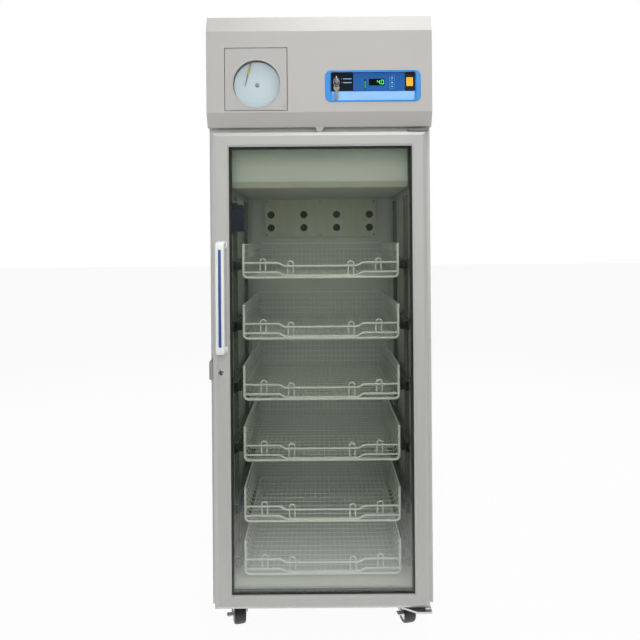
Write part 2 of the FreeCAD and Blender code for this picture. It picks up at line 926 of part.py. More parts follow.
def compressor():
    """Hermetic can on a foot, standing on the tray that carries the whole refrigerating unit."""
    body = doc.addObject("PartDesign::Body", "compressor_can")
    profile = sketch_in(body, "XZ_Plane", "0", "can_profile")
    outline(
        profile,
        [
            ("0", "0"),
            ("compressor_radius", "0"),
            ("compressor_radius", "compressor_height"),
            ("0", "compressor_height"),
        ],
    )
    turn = body.newObject("PartDesign::Revolution", "can_turn")
    turn.Profile = profile
    turn.ReferenceAxis = (profile, ["V_Axis"])
    turn.Angle = 360
    body.Tip = turn
    bind(body, "Placement.Base.x", "compressor_x")
    bind(body, "Placement.Base.y", "compressor_y")
    bind(body, "Placement.Base.z", "tray_top + compressor_foot")
    foot = box(
        "compressor_foot_plate",
        around("compressor_x", "2 * compressor_radius"),
        around("compressor_y", "2 * compressor_radius", "compressor_foot"),
        ("tray_top", "tray_top + compressor_foot"),
    )
    tray = box(
        "unit_tray",
        ("-case_half + tray_inset", "case_half - tray_inset"),
        ("head_front + tray_inset", "case_back - inlet_body_depth - tray_inset"),
        ("head_floor", "tray_top"),
    )
    keep(fuse("compressor", body, foot, tray), "compressor")


def power_inlet():
    """Appliance inlet in the rear grille: a socket with three blades, open to the back."""
    face = "case_back + inlet_proud"
    block = box(
        "inlet_block",
        around("inlet_x", "inlet_width"),
        ("case_back - inlet_body_depth", face),
        around("inlet_z", "inlet_height"),
    )
    socket = box(
        "inlet_socket",
        around("inlet_x", "inlet_socket_width"),
        (f"{face} - inlet_socket_depth", f"{face} + {PAST}"),
        around("inlet_z", "inlet_socket_height"),
    )
    blades = []
    for index, name in enumerate(("left", "middle", "right")):
        middle = f"inlet_x + {index - 1} * inlet_blade_pitch"
        blades.append(
            box(
                f"inlet_blade_{name}",
                around(middle, "inlet_blade_sheet"),
                (f"{face} - inlet_socket_depth - {PAST}", f"{face} - inlet_blade_width"),
                ("inlet_z - inlet_blade_width", "inlet_z"),
            )
        )
    keep(fuse("power_inlet", cut("inlet_shell", block, socket), *blades), "power_inlet")


# Head cover and what it carries


def head_cover():
    """Bevelled sheet cover with openings for the recorder and the control panel."""
    body = doc.addObject("PartDesign::Body", "head_cover")
    side = sketch_in(body, "YZ_Plane", "0", "cover_profile")
    outline(
        side,
        [
            ("cover_back", "overall_height"),
            ("cover_face + bevel_depth", "overall_height"),
            ("cover_face", "overall_height - top_bevel_height"),
            ("cover_face", "cover_bottom + bottom_bevel_height"),
            ("cover_face + bevel_depth", "cover_bottom"),
            ("cover_back", "cover_bottom"),
        ],
    )
    block = feature(body, "Pad", side, "case_width", "cover_block", both_ways=True)
    shell = body.newObject("PartDesign::Thickness", "cover_shell")
    rear = [
        f"Face{n}" for n, face in enumerate(block.Shape.Faces, start=1) if face.normalAt(0, 0).y > 0.99
    ]
    shell.Base = (block, rear)
    shell.Reversed = True
    bind(shell, "Value", "cover_sheet")
    body.Tip = shell
    doc.recompute()
    openings = sketch_in(body, "XZ_Plane", f"-(cover_face - {PAST})", "cover_openings")
    rectangle(
        openings,
        ("recorder_left - recorder_gap", "recorder_right + recorder_gap"),
        ("recorder_bottom - recorder_gap", "recorder_top + recorder_gap"),
    )
    rectangle(
        openings,
        ("panel_left + panel_lap - cutout_play", "panel_right - panel_lap + cutout_play"),
        ("panel_bottom + panel_lap - cutout_play", "panel_top - panel_lap + cutout_play"),
    )
    feature(body, "Pocket", openings, f"cover_sheet + 2 * {PAST}", "cover_cuts")
    holes = sketch_in(body, "YZ_Plane", "0", "cover_pin_holes")
    circle(holes, "cover_pin_y", "cover_pin_z", "cover_pin_radius + pin_play")
    feature(body, "Pocket", holes, f"case_width + 2 * {PAST}", "cover_pin_bores", both_ways=True)
    tab = sketch_in(body, "XZ_Plane", "-(cover_face + bevel_depth + cover_sheet)", "tab_outline")
    outline(
        tab,
        [
            ("-tab_width / 2", "cover_bottom + cover_sheet / 2"),
            ("-tab_width / 6", "cover_bottom - tab_drop"),
            ("tab_width / 6", "cover_bottom - tab_drop"),
            ("tab_width / 2", "cover_bottom + cover_sheet / 2"),
        ],
    )
    feature(body, "Pad", tab, "cover_sheet", "pull_tab")
    keep(body, "head_cover")


def recorder_case():
    """Square box behind the cover, open to the front."""
    outer = "recorder_gap + recorder_case_wall"
    block = box(
        "recorder_block",
        (f"recorder_left - ({outer})", f"recorder_right + {outer}"),
        ("recorder_case_front", "recorder_case_end"),
        (f"recorder_bottom - ({outer})", f"recorder_top + {outer}"),
    )
    hollow = box(
        "recorder_hollow",
        ("recorder_left - recorder_gap", "recorder_right + recorder_gap"),
        (f"recorder_case_front - {PAST}", "recorder_back_face"),
        ("recorder_bottom - recorder_gap", "recorder_top + recorder_gap"),
    )
    keep(cut("recorder_case", block, hollow), "recorder_case")


def recorder_door():
    """Flush square plate with a round window opening and two hinge knuckles behind its left edge."""
    plate = box(
        "recorder_plate_block",
        ("recorder_left", "recorder_right"),
        ("cover_face", "cover_face + recorder_plate"),
        ("recorder_bottom", "recorder_top"),
    )
    opening = rod(
        "recorder_opening",
        "y",
        ("window_x", "window_z"),
        "window_radius",
        (f"cover_face - {PAST}", f"cover_face + recorder_plate + {PAST}"),
    )
    pieces = [cut("recorder_holed_plate", plate, opening)]
    for end, low, high in (
        ("low", "recorder_bottom - recorder_gap + knuckle_gap", "recorder_bottom + knuckle_length"),
        ("high", "recorder_top - knuckle_length", "recorder_top + recorder_gap - knuckle_gap"),
    ):
        pieces.append(
            box(
                f"recorder_knuckle_{end}",
                around("recorder_axis_x", "recorder_hinge_depth"),
                ("cover_face + recorder_plate", "recorder_axis_y + recorder_hinge_depth / 2"),
                (low, high),
            )
        )
    keep(fuse("recorder_door", *pieces), "recorder_door")


def recorder_window():
    """Clear square pane that lies behind the round opening."""
    pane = box(
        "recorder_window",
        around("window_x", "2 * window_radius", "window_lap"),
        ("cover_face + recorder_plate", "cover_face + recorder_plate + window_sheet"),
        around("window_z", "2 * window_radius", "window_lap"),
    )
    keep(pane, "recorder_window")


def chart_disc():
    """Paper chart on a hub that reaches back to the drive in the case's rear wall."""
    sheet = ("chart_face", "chart_face + chart_sheet")
    paper = rod("chart_paper", "y", ("window_x", "window_z"), "chart_radius", sheet)
    hub = doc.addObject("PartDesign::Body", "chart_hub")
    back = "(recorder_back_face - knuckle_gap)"
    outer = sketch_in(hub, "XZ_Plane", f"-{back}", "chart_hub_outline")
    eight_sided(outer, "window_x", "window_z", "chart_hub_radius")
    feature(hub, "Pad", outer, f"{back} - chart_face - chart_sheet + {PAST / 2}", "chart_hub_pad")
    keep(fuse("chart_disc", paper, hub), "chart_disc")


def pen_arm():
    """Tapered arm that swings on a post above the chart and carries a nib over the paper."""
    pivot = Vector(value("pen_pivot_x"), value("pen_face"), value("pen_pivot_z"))
    tip = Vector(value("pen_tip_x"), value("pen_face"), value("pen_tip_z"))
    along = (tip - pivot).normalize()
    across = Vector(-along.z, 0, along.x)
    root = across * (value("pen_root_width") / 2)
    end = across * (value("pen_end_width") / 2)
    head = pivot - along * (value("pen_root_width") / 2)
    shoulder = pivot + along * value("pen_root_width")
    bar = closed_face([head - root, shoulder - root, tip - end, tip + end, shoulder + root, head + root])
    post_length = value("recorder_back_face") - value("knuckle_gap") - value("pen_face")
    post_side = 2 * value("pen_post_radius")
    post_corner = pivot - Vector(post_side / 2, 0, post_side / 2)
    post = Part.makeBox(post_side, post_length, post_side, post_corner)
    nib_width = value("pen_end_width") / 2
    nib_length = value("chart_face") - value("pen_nib_gap") - value("pen_face")
    nib_corner = tip - along * nib_width - Vector(nib_width / 2, 0, nib_width / 2)
    nib = Part.makeBox(nib_width, nib_length, nib_width, nib_corner)
    solid = bar.extrude(Vector(0, value("pen_sheet"), 0)).fuse([post, nib]).removeSplitter()
    keep(own_shape("pen_arm", solid), "pen_arm")


def control_bezel():
    """Moulded surround with a deep key recess and a sloping sill under it."""
    body = doc.addObject("PartDesign::Body", "control_bezel")
    face = sketch_in(body, "XZ_Plane", "-cover_face", "bezel_outline")
    rectangle(face, ("panel_left", "panel_right"), ("panel_bottom", "panel_top"))
    flange = feature(body, "Pad", face, "panel_proud", "bezel_flange")
    flange = rounded(body, flange, "panel_corner", "bezel_corners", runs_along("y"))
    back = sketch_in(body, "XZ_Plane", "-cover_face", "bezel_body_outline")
    rectangle(
        back,
        ("panel_left + panel_lap", "panel_right - panel_lap"),
        ("panel_bottom + panel_lap", "panel_top - panel_lap"),
    )
    feature(body, "Pad", back, "panel_body_depth", "bezel_body", reverse=True)
    recess = sketch_in(body, "XZ_Plane", f"-(panel_front - {PAST})", "recess_outline")
    rectangle(recess, ("key_left", "key_right"), ("key_bottom", "key_top"))
    feature(body, "Pocket", recess, f"recess_depth + {PAST}", "key_recess")
    sill = sketch_in(body, "YZ_Plane", "(key_left + key_right) / 2", "sill_profile")
    outline(
        sill,
        [
            (f"panel_front - {PAST}", "panel_bottom + lip_bottom"),
            ("panel_front", "panel_bottom + lip_bottom"),
            ("panel_front + lip_depth", "key_bottom"),
            ("panel_front + lip_depth", f"key_bottom + {PAST}"),
            (f"panel_front - {PAST}", f"key_bottom + {PAST}"),
        ],
    )
    feature(body, "Pocket", sill, "key_right - key_left", "sill_slope", both_ways=True)
    well = sketch_in(body, "XZ_Plane", f"-(recess_back - {PAST})", "rocker_well_outline")
    rectangle(
        well,
        ("rocker_x - rocker_width / 2 - rocker_gap", "rocker_x + rocker_width / 2 + rocker_gap"),
        around("rocker_z", "rocker_height", "rocker_swing_gap"),
    )
    feature(body, "Pocket", well, f"rocker_heel_y - recess_back + rocker_swing_gap + {PAST}", "rocker_well")
    keep(body, "control_bezel")


def button_levels():
    return [
        ("up", "button_top_z"),
        ("mute", "button_top_z - button_pitch"),
        ("down", "button_top_z - 2 * button_pitch"),
    ]


def keypad():
    """Key plate in the recess, with openings for everything that shows or moves through it."""
    plate = box(
        "keypad_plate",
        ("key_left + keypad_play", "key_right - keypad_play"),
        ("keypad_front", "recess_back"),
        ("key_bottom + keypad_play", "key_top - keypad_play"),
    )
    through = (f"keypad_front - {PAST}", f"recess_back + {PAST}")
    display_span = around("display_z", "display_height")
    status_span = around("status_z", "status_height")
    tools = [
        box("display_opening", around("display_x", "display_width"), through, display_span),
        box("status_opening", around("status_x", "status_width"), through, status_span),
        box(
            "rocker_opening",
            around("rocker_x", "rocker_width", "rocker_gap"),
            through,
            around("rocker_z", "rocker_height", "rocker_swing_gap"),
        ),
    ]
    for name, level in button_levels():
        tools.append(
            box(
                f"button_opening_{name}",
                around("button_x", "button_width", "button_gap"),
                through,
                around(f"({level})", "button_height", "button_gap"),
            )
        )
    keep(cut("keypad", plate, *tools), "keypad")


def display_window():
    """Number display and the narrow status lamp, set in the key plate."""
    depth = ("keypad_front - lens_proud", "recess_back")
    display_span = around("display_z", "display_height")
    status_span = around("status_z", "status_height")
    screen = box("display_lens", around("display_x", "display_width"), depth, display_span)
    lamp = box("status_lens", around("status_x", "status_width"), depth, status_span)
    keep(group("display_window", screen, lamp), "display_window")


def buttons():
    for name, level in button_levels():
        button = box(
            f"button_{name}",
            around("button_x", "button_width"),
            ("keypad_front - button_proud", "button_rear"),
            around(f"({level})", "button_height"),
        )
        keep(button, f"button_{name}")


def power_rocker():
    """Rocker that tapers to the heel on which it tips."""
    body = doc.addObject("PartDesign::Body", "power_rocker")
    side = sketch_in(body, "YZ_Plane", "rocker_x", "rocker_profile")
    front = "keypad_front - rocker_proud"
    outline(
        side,
        [
            (front, "rocker_z - rocker_height / 2"),
            (f"{front} + rocker_proud / 2", "rocker_z"),
            (front, "rocker_z + rocker_height / 2"),
            ("keypad_front", "rocker_z + rocker_height / 2"),
            ("rocker_heel_y", "rocker_z + rocker_heel / 2"),
            ("rocker_heel_y", "rocker_z - rocker_heel / 2"),
            ("keypad_front", "rocker_z - rocker_height / 2"),
        ],
    )
    feature(body, "Pad", side, "rocker_width", "rocker_cap", both_ways=True)
    keep(body, "power_rocker")


def key_switch():
    """Barrel of the key switch, bored for its plug."""
    barrel = doc.addObject("PartDesign::Body", "switch_barrel")
    rim = sketch_in(barrel, "XZ_Plane", "-keypad_front", "switch_outline")
    eight_sided(rim, "switch_x", "switch_z", "switch_radius")
    feature(barrel, "Pad", rim, "keypad_front - switch_front", "switch_pad")
    bore = rod(
        "switch_bore",
        "y",
        ("switch_x", "switch_z"),
        "key_plug_radius + pin_play",
        (f"switch_front - {PAST}", f"keypad_front + {PAST}"),
    )
    keep(cut("key_switch", barrel, bore), "key_switch")


def key():
    """Plug with the key in it; the key's bow stands upright and is slotted for the ring."""
    body = doc.addObject("PartDesign::Body", "key_blank")
    side = sketch_in(body, "YZ_Plane", "switch_x", "bow_profile")
    reach = "key_bow_radius"
    corner = "key_bow_radius / 2"
    root = "switch_front - key_plug_proud"
    outline(
        side,
        [
            (root, "switch_z - key_neck / 2"),
            (root, "switch_z + key_neck / 2"),
            (f"bow_y + {corner}", f"switch_z + {reach}"),
            (f"bow_y - {corner}", f"switch_z + {reach}"),
            (f"bow_y - {reach}", f"switch_z + {corner}"),
            (f"bow_y - {reach}", f"switch_z - {corner}"),
            (f"bow_y - {corner}", f"switch_z - {reach}"),
            (f"bow_y + {corner}", f"switch_z - {reach}"),
        ],
    )
    feature(body, "Pad", side, "key_bow_sheet", "key_bow", both_ways=True)
    slot = sketch_in(body, "YZ_Plane", "switch_x", "key_slot_outline")
    rectangle(slot, around("bow_y", "key_slot_width"), around("switch_z", "key_slot_height"))
    feature(body, "Pocket", slot, f"key_bow_sheet + 2 * {PAST}", "key_slot", both_ways=True)
    plug = rod(
        "key_plug",
        "y",
        ("switch_x", "switch_z"),
        "key_plug_radius",
        (root, "keypad_front - keypad_play"),
    )
    keep(fuse("key", plug, body), "key")


def spare_key():
    """Eight-sided wire ring through the key's bow with the second key hanging from it."""
    body = doc.addObject("PartDesign::Body", "key_ring")
    flat = sketch_in(body, "XZ_Plane", "-bow_y", "ring_outline")
    middle_z = "switch_z - ring_radius"
    for radius in ("ring_radius + ring_wire", "ring_radius - ring_wire"):
        points = []
        for index in range(8):
            turn = 45 * index + 22.5
            points.append(
                (f"switch_x + ({radius}) * cos({turn} deg)", f"{middle_z} + ({radius}) * sin({turn} deg)")
            )
        outline(flat, points)
    feature(body, "Pad", flat, "2 * ring_wire", "ring_wire_pad", both_ways=True)
    key_body = doc.addObject("PartDesign::Body", "spare_blank")
    shape = sketch_in(key_body, "XZ_Plane", "-bow_y", "spare_outline")
    top = "switch_z - 2 * ring_radius + 2 * ring_wire"
    shoulder = f"{top} - 2 * spare_bow_radius"
    outline(
        shape,
        [
            ("switch_x - spare_bow_radius / 2", top),
            ("switch_x - spare_bow_radius", f"{top} - spare_bow_radius / 2"),
            ("switch_x - spare_bow_radius", f"{shoulder} + spare_bow_radius / 2"),
            ("switch_x - spare_blade_width / 2", shoulder),
            ("switch_x - spare_blade_width / 2", f"{shoulder} - spare_blade_length"),
            ("switch_x + spare_blade_width / 2", f"{shoulder} - spare_blade_length"),
            ("switch_x + spare_blade_width / 2", shoulder),
            ("switch_x + spare_bow_radius", f"{shoulder} + spare_bow_radius / 2"),
            ("switch_x + spare_bow_radius", f"{top} - spare_bow_radius / 2"),
            ("switch_x + spare_bow_radius / 2", top),
        ],
    )
    feature(key_body, "Pad", shape, "key_bow_sheet", "spare_plate", both_ways=True)
    keep(fuse("spare_key", body, key_body), "spare_key")


# Inside the cavity


def evaporator_housing():
    """Canopy under the ceiling that encloses the cooling coil: fascia, ends and floor pan."""
    rear = "cavity_back - flange_seam"
    body = doc.addObject("PartDesign::Body", "evaporator_housing")
    side = sketch_in(body, "YZ_Plane", "0", "housing_profile")
    outline(
        side,
        [
            ("housing_front", "cavity_top"),
            ("housing_front", "fascia_bottom"),
            ("housing_front + diffuser_setback", "housing_floor"),
            (rear, "housing_floor"),
            (rear, "cavity_top"),
        ],
    )
    block = feature(body, "Pad", side, "housing_width", "housing_block", both_ways=True)
    shell = body.newObject("PartDesign::Thickness", "housing_shell")
    open_faces = [
        f"Face{n}"
        for n, face in enumerate(block.Shape.Faces, start=1)
        if face.normalAt(0, 0).z > 0.99 or face.normalAt(0, 0).y > 0.99
    ]
    shell.Base = (block, open_faces)
    shell.Reversed = True
    bind(shell, "Value", "housing_sheet")
    body.Tip = shell
    keep(body, "evaporator_housing")


def light_diffuser():
    """Lens strip that bridges the canopy's front corner, proud of its sloping edge."""
    body = doc.addObject("PartDesign::Body", "light_diffuser")
    side = sketch_in(body, "YZ_Plane", "0", "diffuser_profile")
    outline(
        side,
        [
            ("housing_front", "fascia_bottom"),
            ("housing_front + diffuser_setback", "housing_floor"),
            ("housing_front + diffuser_setback - diffuser_lens", "housing_floor"),
            ("housing_front", "fascia_bottom - diffuser_lens"),
        ],
    )
    feature(body, "Pad", side, "housing_width", "diffuser_strip", both_ways=True)
    keep(body, "light_diffuser")


def duct_panel():
    """Air duct cover on the rear wall with two rows of round outlets."""
    body = doc.addObject("PartDesign::Body", "duct_panel")
    face = sketch_in(body, "XZ_Plane", "-cavity_back", "duct_outline")
    rectangle(face, around("0", "duct_width"), ("duct_top - duct_height", "duct_top"))
    block = feature(body, "Pad", face, "duct_depth", "duct_block")
    shell = body.newObject("PartDesign::Thickness", "duct_shell")
    rear = [
        f"Face{n}" for n, item in enumerate(block.Shape.Faces, start=1) if item.normalAt(0, 0).y > 0.99
    ]
    shell.Base = (block, rear)
    shell.Reversed = True
    bind(shell, "Value", "duct_sheet")
    body.Tip = shell
    doc.recompute()
    holes = sketch_in(body, "XZ_Plane", f"-(duct_front - {PAST})", "duct_holes")
    for row in range(2):
        for column in range(4):
            across = f"({column} - 1.5) * duct_hole_pitch"
            up = f"duct_top - duct_height + duct_hole_rise + {row} * duct_hole_row"
            eight_sided(holes, across, up, "duct_hole_radius")
    feature(body, "Pocket", holes, f"duct_sheet + 2 * {PAST}", "duct_outlets")
    keep(body, "duct_panel")


def probe_bottle():
    """Glycol bottle of the temperature probe, held against the left wall by its clip."""
    wall = "-cavity_half"
    near = "case_front + bottle_setback"
    bottle = box(
        "bottle_block",
        (f"{wall} + liner_sheet", f"{wall} + liner_sheet + bottle_width"),
        (near, f"{near} + bottle_width"),
        ("bottle_z", "bottle_z + bottle_height"),
    )
    clip = box(
        "bottle_clip",
        (wall, f"{wall} + liner_sheet"),
        (near, f"{near} + bottle_width"),
        ("bottle_z - bottle_width / 4", "bottle_z + bottle_height + bottle_width / 2"),
    )
    keep(fuse("probe_bottle", bottle, clip), "probe_bottle")


# Drawers


def drawer_levels():
    """Underside height of each drawer's front wire, lowest first."""
    levels = ["lowest_drawer_z"]
    levels += [f"second_drawer_z + {step} * drawer_pitch" for step in range(int(value("drawers_above")))]
    return levels


def drawer_tracks():
    """Four slotted uprights and, for each drawer, a pair of channels that face inwards."""
    pieces = []
    for side, sign in (("left", -1), ("right", 1)):

        def across(near, far, mirrored=sign):
            return (near, far) if mirrored > 0 else (f"-({far})", f"-({near})")

        for row, middle in (("front", "front_pilaster_y"), ("rear", "rear_pilaster_y")):
            pieces.append(
                box(
                    f"pilaster_{side}_{row}",
                    across("pilaster_inside", "cavity_half"),
                    around(middle, "pilaster_width"),
                    ("cavity_floor", "housing_floor - pilaster_end_gap"),
                )
            )
        for index, level in enumerate(drawer_levels()):
            middle = f"{level} + track_rise"
            channel = cut(
                f"track_{side}_{index}",
                box(
                    f"track_block_{side}_{index}",
                    across("track_inside", "pilaster_inside"),
                    ("drawer_front", "drawer_back"),
                    around(middle, "track_height"),
                ),
                box(
                    f"track_hollow_{side}_{index}",
                    across(f"track_inside - {PAST}", "pilaster_inside - track_sheet"),
                    (f"drawer_front - {PAST}", f"drawer_back + {PAST}"),
                    around(middle, "track_height", "-track_sheet"),
                ),
            )
            pieces.append(channel)
    keep(group("drawer_tracks", *pieces), "drawer_tracks")


def basket_wires():
    """Cross wires under the floor wires that run from front to back."""
    inside = "drawer_half - side_sheet"
    wires = []
    for index in range(int(value("cross_wires"))):
        middle = f"cross_first + {index} * cross_pitch"
        across = (f"-({inside})", inside)
        run = around(middle, "cross_wire")
        wires.append(box(f"cross_wire_{index}", across, run, ("0", "cross_wire")))
    for index in range(int(value("floor_wires"))):
        middle = f"({index} - (floor_wires - 1) / 2) * floor_pitch"
        wires.append(
            box(
                f"floor_wire_{index}",
                around(f"({middle})", "floor_wire"),
                ("post_wire", "drawer_depth - side_sheet"),
                ("cross_wire", "cross_wire + floor_wire"),
            )
        )
    return wires


def basket_side(name, left):
    """Side panel with a window between every two uprights."""
    body = doc.addObject("PartDesign::Body", name)
    sheet = sketch_in(body, "YZ_Plane", left, name + "_outline")
    rectangle(sheet, ("post_wire", "drawer_depth"), ("0", "drawer_height"))
    uprights = int(value("side_windows")) + 1
    pitch = "((drawer_depth - post_wire - cross_wire) / side_windows)"
    for index in range(uprights - 1):
        near = f"post_wire + cross_wire + {index} * {pitch}"
        far = f"post_wire + {index + 1} * {pitch}"
        rectangle(sheet, (near, far), ("2 * cross_wire", "drawer_height - cross_wire"))
    feature(body, "Pad", sheet, "side_sheet", name + "_pad")
    return body


def basket_back():
    """Back panel with a row of windows."""
    body = doc.addObject("PartDesign::Body", "basket_back")
    sheet = sketch_in(body, "XZ_Plane", "-drawer_depth", "basket_back_outline")
    inside = "(drawer_half - side_sheet)"
    rectangle(sheet, (f"-{inside}", inside), ("0", "drawer_height"))
    pitch = f"((2 * {inside} - cross_wire) / back_windows)"
    for index in range(int(value("back_windows"))):
        left = f"-{inside} + cross_wire + {index} * {pitch}"
        right = f"-{inside} + {index + 1} * {pitch}"
        rectangle(sheet, (left, right), ("2 * cross_wire", "drawer_height - cross_wire"))
    feature(body, "Pad", sheet, "side_sheet", "basket_back_pad")
    return body


def basket_front():
    """Front wires in one plane: the bent frame wire and two rails that drop between their shoulders."""
    body = doc.addObject("PartDesign::Body", "basket_front")
    flat = sketch_in(body, "XZ_Plane", "0", "front_frame_outline")
    post = "drawer_half - post_wire"
    bend = "corner_cut + post_wire / 2"
    outline(
        flat,
        [
            ("-drawer_half", "corner_cut"),
            ("-drawer_half", "drawer_height"),
            (f"-({post})", "drawer_height"),
            (f"-({post})", bend),
            (f"-(drawer_half - ({bend}))", "post_wire"),
            (f"drawer_half - ({bend})", "post_wire"),
            (post, bend),
            (post, "drawer_height"),
            ("drawer_half", "drawer_height"),
            ("drawer_half", "corner_cut"),
            ("drawer_half - corner_cut", "0"),
            ("corner_cut - drawer_half", "0"),
        ],
    )
    feature(body, "Pad", flat, "post_wire", "front_frame", reverse=True)
    for name in ("lower", "upper"):
        rail = sketch_in(body, "XZ_Plane", "-(post_wire - rail_wire) / 2", f"{name}_rail_outline")
        run = [
            (f"-({post} + post_wire / 2)", "0"),
            ("-(rail_step_start + rail_step_run)", "0"),
            ("-rail_step_start", "-rail_step_down"),
            ("rail_step_start", "-rail_step_down"),
            ("rail_step_start + rail_step_run", "0"),
            (f"{post} + post_wire / 2", "0"),
        ]
        level = f"{name}_rail_z"
        top = [(x, f"{level} + {drop} + rail_wire / 2") for x, drop in run]
        under = [(x, f"{level} + {drop} - rail_wire / 2") for x, drop in reversed(run)]
        outline(rail, top + under)
        feature(body, "Pad", rail, "rail_wire", f"{name}_rail", reverse=True)
    return body


def label_loops():
    """Four upside-down U wires that stand in front of the lower rail."""
    loops = []
    for side, sign in (("left", "-"), ("right", "")):
        for name, lift in (("inner", "rail_step_down"), ("outer", "0")):
            body = doc.addObject("PartDesign::Body", f"{name}_loop_{side}")
            flat = sketch_in(body, "XZ_Plane", "-rail_back", f"{name}_loop_outline_{side}")
            middle = f"{sign}{name}_loop_x"
            foot = f"lower_rail_z - rail_wire / 2 - {lift}"
            top = f"{name}_loop_top"
            half = "loop_width / 2"
            inner = f"({half} - loop_wire)"
            outline(
                flat,
                [
                    (f"{middle} - {half}", foot),
                    (f"{middle} - {half}", top),
                    (f"{middle} + {half}", top),
                    (f"{middle} + {half}", foot),
                    (f"{middle} + {inner}", foot),
                    (f"{middle} + {inner}", f"{top} - loop_wire"),
                    (f"{middle} - {inner}", f"{top} - loop_wire"),
                    (f"{middle} - {inner}", foot),
                ],
            )
            feature(body, "Pad", flat, "loop_wire", f"{name}_loop_pad_{side}", reverse=True)
            loops.append(body)
    return loops


def runner(name, sign):
    """Channel that rides in the track, on an arm fixed to the drawer's side."""
    body = doc.addObject("PartDesign::Body", name)
    section = sketch_in(body, "XZ_Plane", "-drawer_depth", name + "_section")
    outside = "pilaster_inside - track_sheet - runner_play"
    low = "track_rise - runner_half"
    high = "track_rise + runner_half"
    points = [
        ("drawer_half", "track_rise - runner_arm / 2"),
        ("track_inside", "track_rise - runner_arm / 2"),
        ("track_inside", low),
        (outside, low),
        (outside, f"{low} + runner_web"),
        ("track_inside + runner_web", f"{low} + runner_web"),
        ("track_inside + runner_web", f"{high} - runner_web"),
        (outside, f"{high} - runner_web"),
        (outside, high),
        ("track_inside", high),
        ("track_inside", "track_rise + runner_arm / 2"),
        ("drawer_half", "track_rise + runner_arm / 2"),
    ]
    outline(section, [(f"{sign}({x})", z) for x, z in points])
    feature(body, "Pad", section, "drawer_depth", name + "_pad")
    return body


def drawers():
    """Six drawers, each the same wire basket at its own height."""
    pieces = [*basket_wires(), basket_front(), basket_back(), *label_loops()]
    pieces.append(basket_side("basket_left", "-drawer_half"))
    pieces.append(basket_side("basket_right", "drawer_half - side_sheet"))
    pieces.append(runner("left_runner", "-"))
    pieces.append(runner("right_runner", ""))
    basket = group("basket", *pieces)
    for number, level in enumerate(reversed(drawer_levels()), start=1):
        drawer = group(f"drawer_{number}", basket)
        bind(drawer, "Placement.Base.y", "drawer_front")
        bind(drawer, "Placement.Base.z", level)
        keep(drawer, f"drawer_{number}")


# Door


def frame_section(share_width, rail_width, corner_x, corner_z, inward_x, inward_z):
    """Section of a frame member at one mitre.

    Each corner of the section is a share of the way from the frame's outer corner to the
    corner of the glass opening, and a depth behind the door's face.
    """
    outer = value("outer_bevel_share")
    inner = 1 - value("inner_bevel_share")
    rebate = 1 - value("rebate_share")
    depth = value("door_thickness")
    lip = value("lip_depth_door")
    stations = [
        (0, depth), (0, value("outer_bevel_depth")), (outer, 0), (inner, 0),
        (1, value("inner_bevel_depth")), (1, lip), (rebate, lip), (rebate, depth),
    ]
    front = value("door_front")
    reach_x = inward_x * share_width
    reach_z = inward_z * rail_width
    return [
        Vector(corner_x + reach_x * share, front + back, corner_z + reach_z * share)
        for share, back in stations
    ]


def mitred_member(start, end):
    """Straight member between two mitre sections that have their corners in the same order."""
    following = [*range(1, len(start)), 0]
    sides = [closed_face([start[n], start[m], end[m], end[n]]) for n, m in enumerate(following)]
    return Part.Solid(Part.Shell([closed_face(start), closed_face(end), *sides]))


def door_frame():
    """Four extruded members with mitred ends, bored for the hinge pins and the lock."""
    left, right = value("door_left"), value("door_right")
    bottom, top = value("door_bottom"), value("door_top")
    corners = {
        "bottom_left": frame_section(value("left_stile"), value("bottom_rail"), left, bottom, 1, 1),
        "bottom_right": frame_section(value("right_stile"), value("bottom_rail"), right, bottom, -1, 1),
        "top_right": frame_section(value("right_stile"), value("top_rail"), right, top, -1, -1),
        "top_left": frame_section(value("left_stile"), value("top_rail"), left, top, 1, -1),
    }
    around_door = ["bottom_left", "bottom_right", "top_right", "top_left", "bottom_left"]
    members = []
    for start, end in zip(around_door, around_door[1:]):
        members.append(mitred_member(corners[start], corners[end]))
    stock = own_shape("frame_members", Part.makeCompound(members))
    pin_bore = rod(
        "hinge_bore",
        "z",
        ("hinge_x", "hinge_y"),
        "hinge_pin_radius + pin_play",
        (f"door_bottom - {PAST}", f"door_bottom + hinge_pin_depth + {PAST}"),
    )
    top_bore = rod(
        "top_hinge_bore",
        "z",
        ("hinge_x", "hinge_y"),
        "hinge_pin_radius + pin_play",
        (f"door_top - hinge_pin_depth - {PAST}", f"door_top + {PAST}"),
    )
    lock_bore = rod(
        "lock_bore",
        "y",
        ("lock_x", "lock_z"),
        "lock_radius + pin_play",
        (f"door_front - {PAST}", "door_front + lock_depth + keypad_play"),
    )
    keep(cut("door_frame", stock, pin_bore, top_bore, lock_bore), "door_frame")


def opening_span(grow):
    """X and Z spans of the glass opening, widened on every side."""
    across = (f"glass_left - ({grow})", f"glass_right + ({grow})")
    up = (f"glass_bottom - ({grow})", f"glass_top + ({grow})")
    return across, up


def door_glass():
    across, up = opening_span("pane_lap")
    panes = [
        box(f"pane_{name}", across, (place, f"{place} + pane_thickness"), up)
        for name, place in (("front", "front_pane"), ("rear", "rear_pane"))
    ]
    keep(group("door_glass", *panes), "door_glass")


def glazing_bead():
    """Dark surround that grips both panes and keeps them apart."""
    outer_x, outer_z = opening_span("bead_lap")
    inner_x, inner_z = opening_span("-bead_show")
    pane_x, pane_z = opening_span("pane_lap")
    ring = box("bead_block", outer_x, ("bead_face", "bead_back"), outer_z)
    sight = box("bead_sight", inner_x, (f"bead_face - {PAST}", f"bead_back + {PAST}"), inner_z)
    grooves = [
        box(f"bead_groove_{name}", pane_x, (place, f"{place} + pane_thickness"), pane_z)
        for name, place in (("front", "front_pane"), ("rear", "rear_pane"))
    ]
    keep(cut("glazing_bead", ring, sight, *grooves), "glazing_bead")


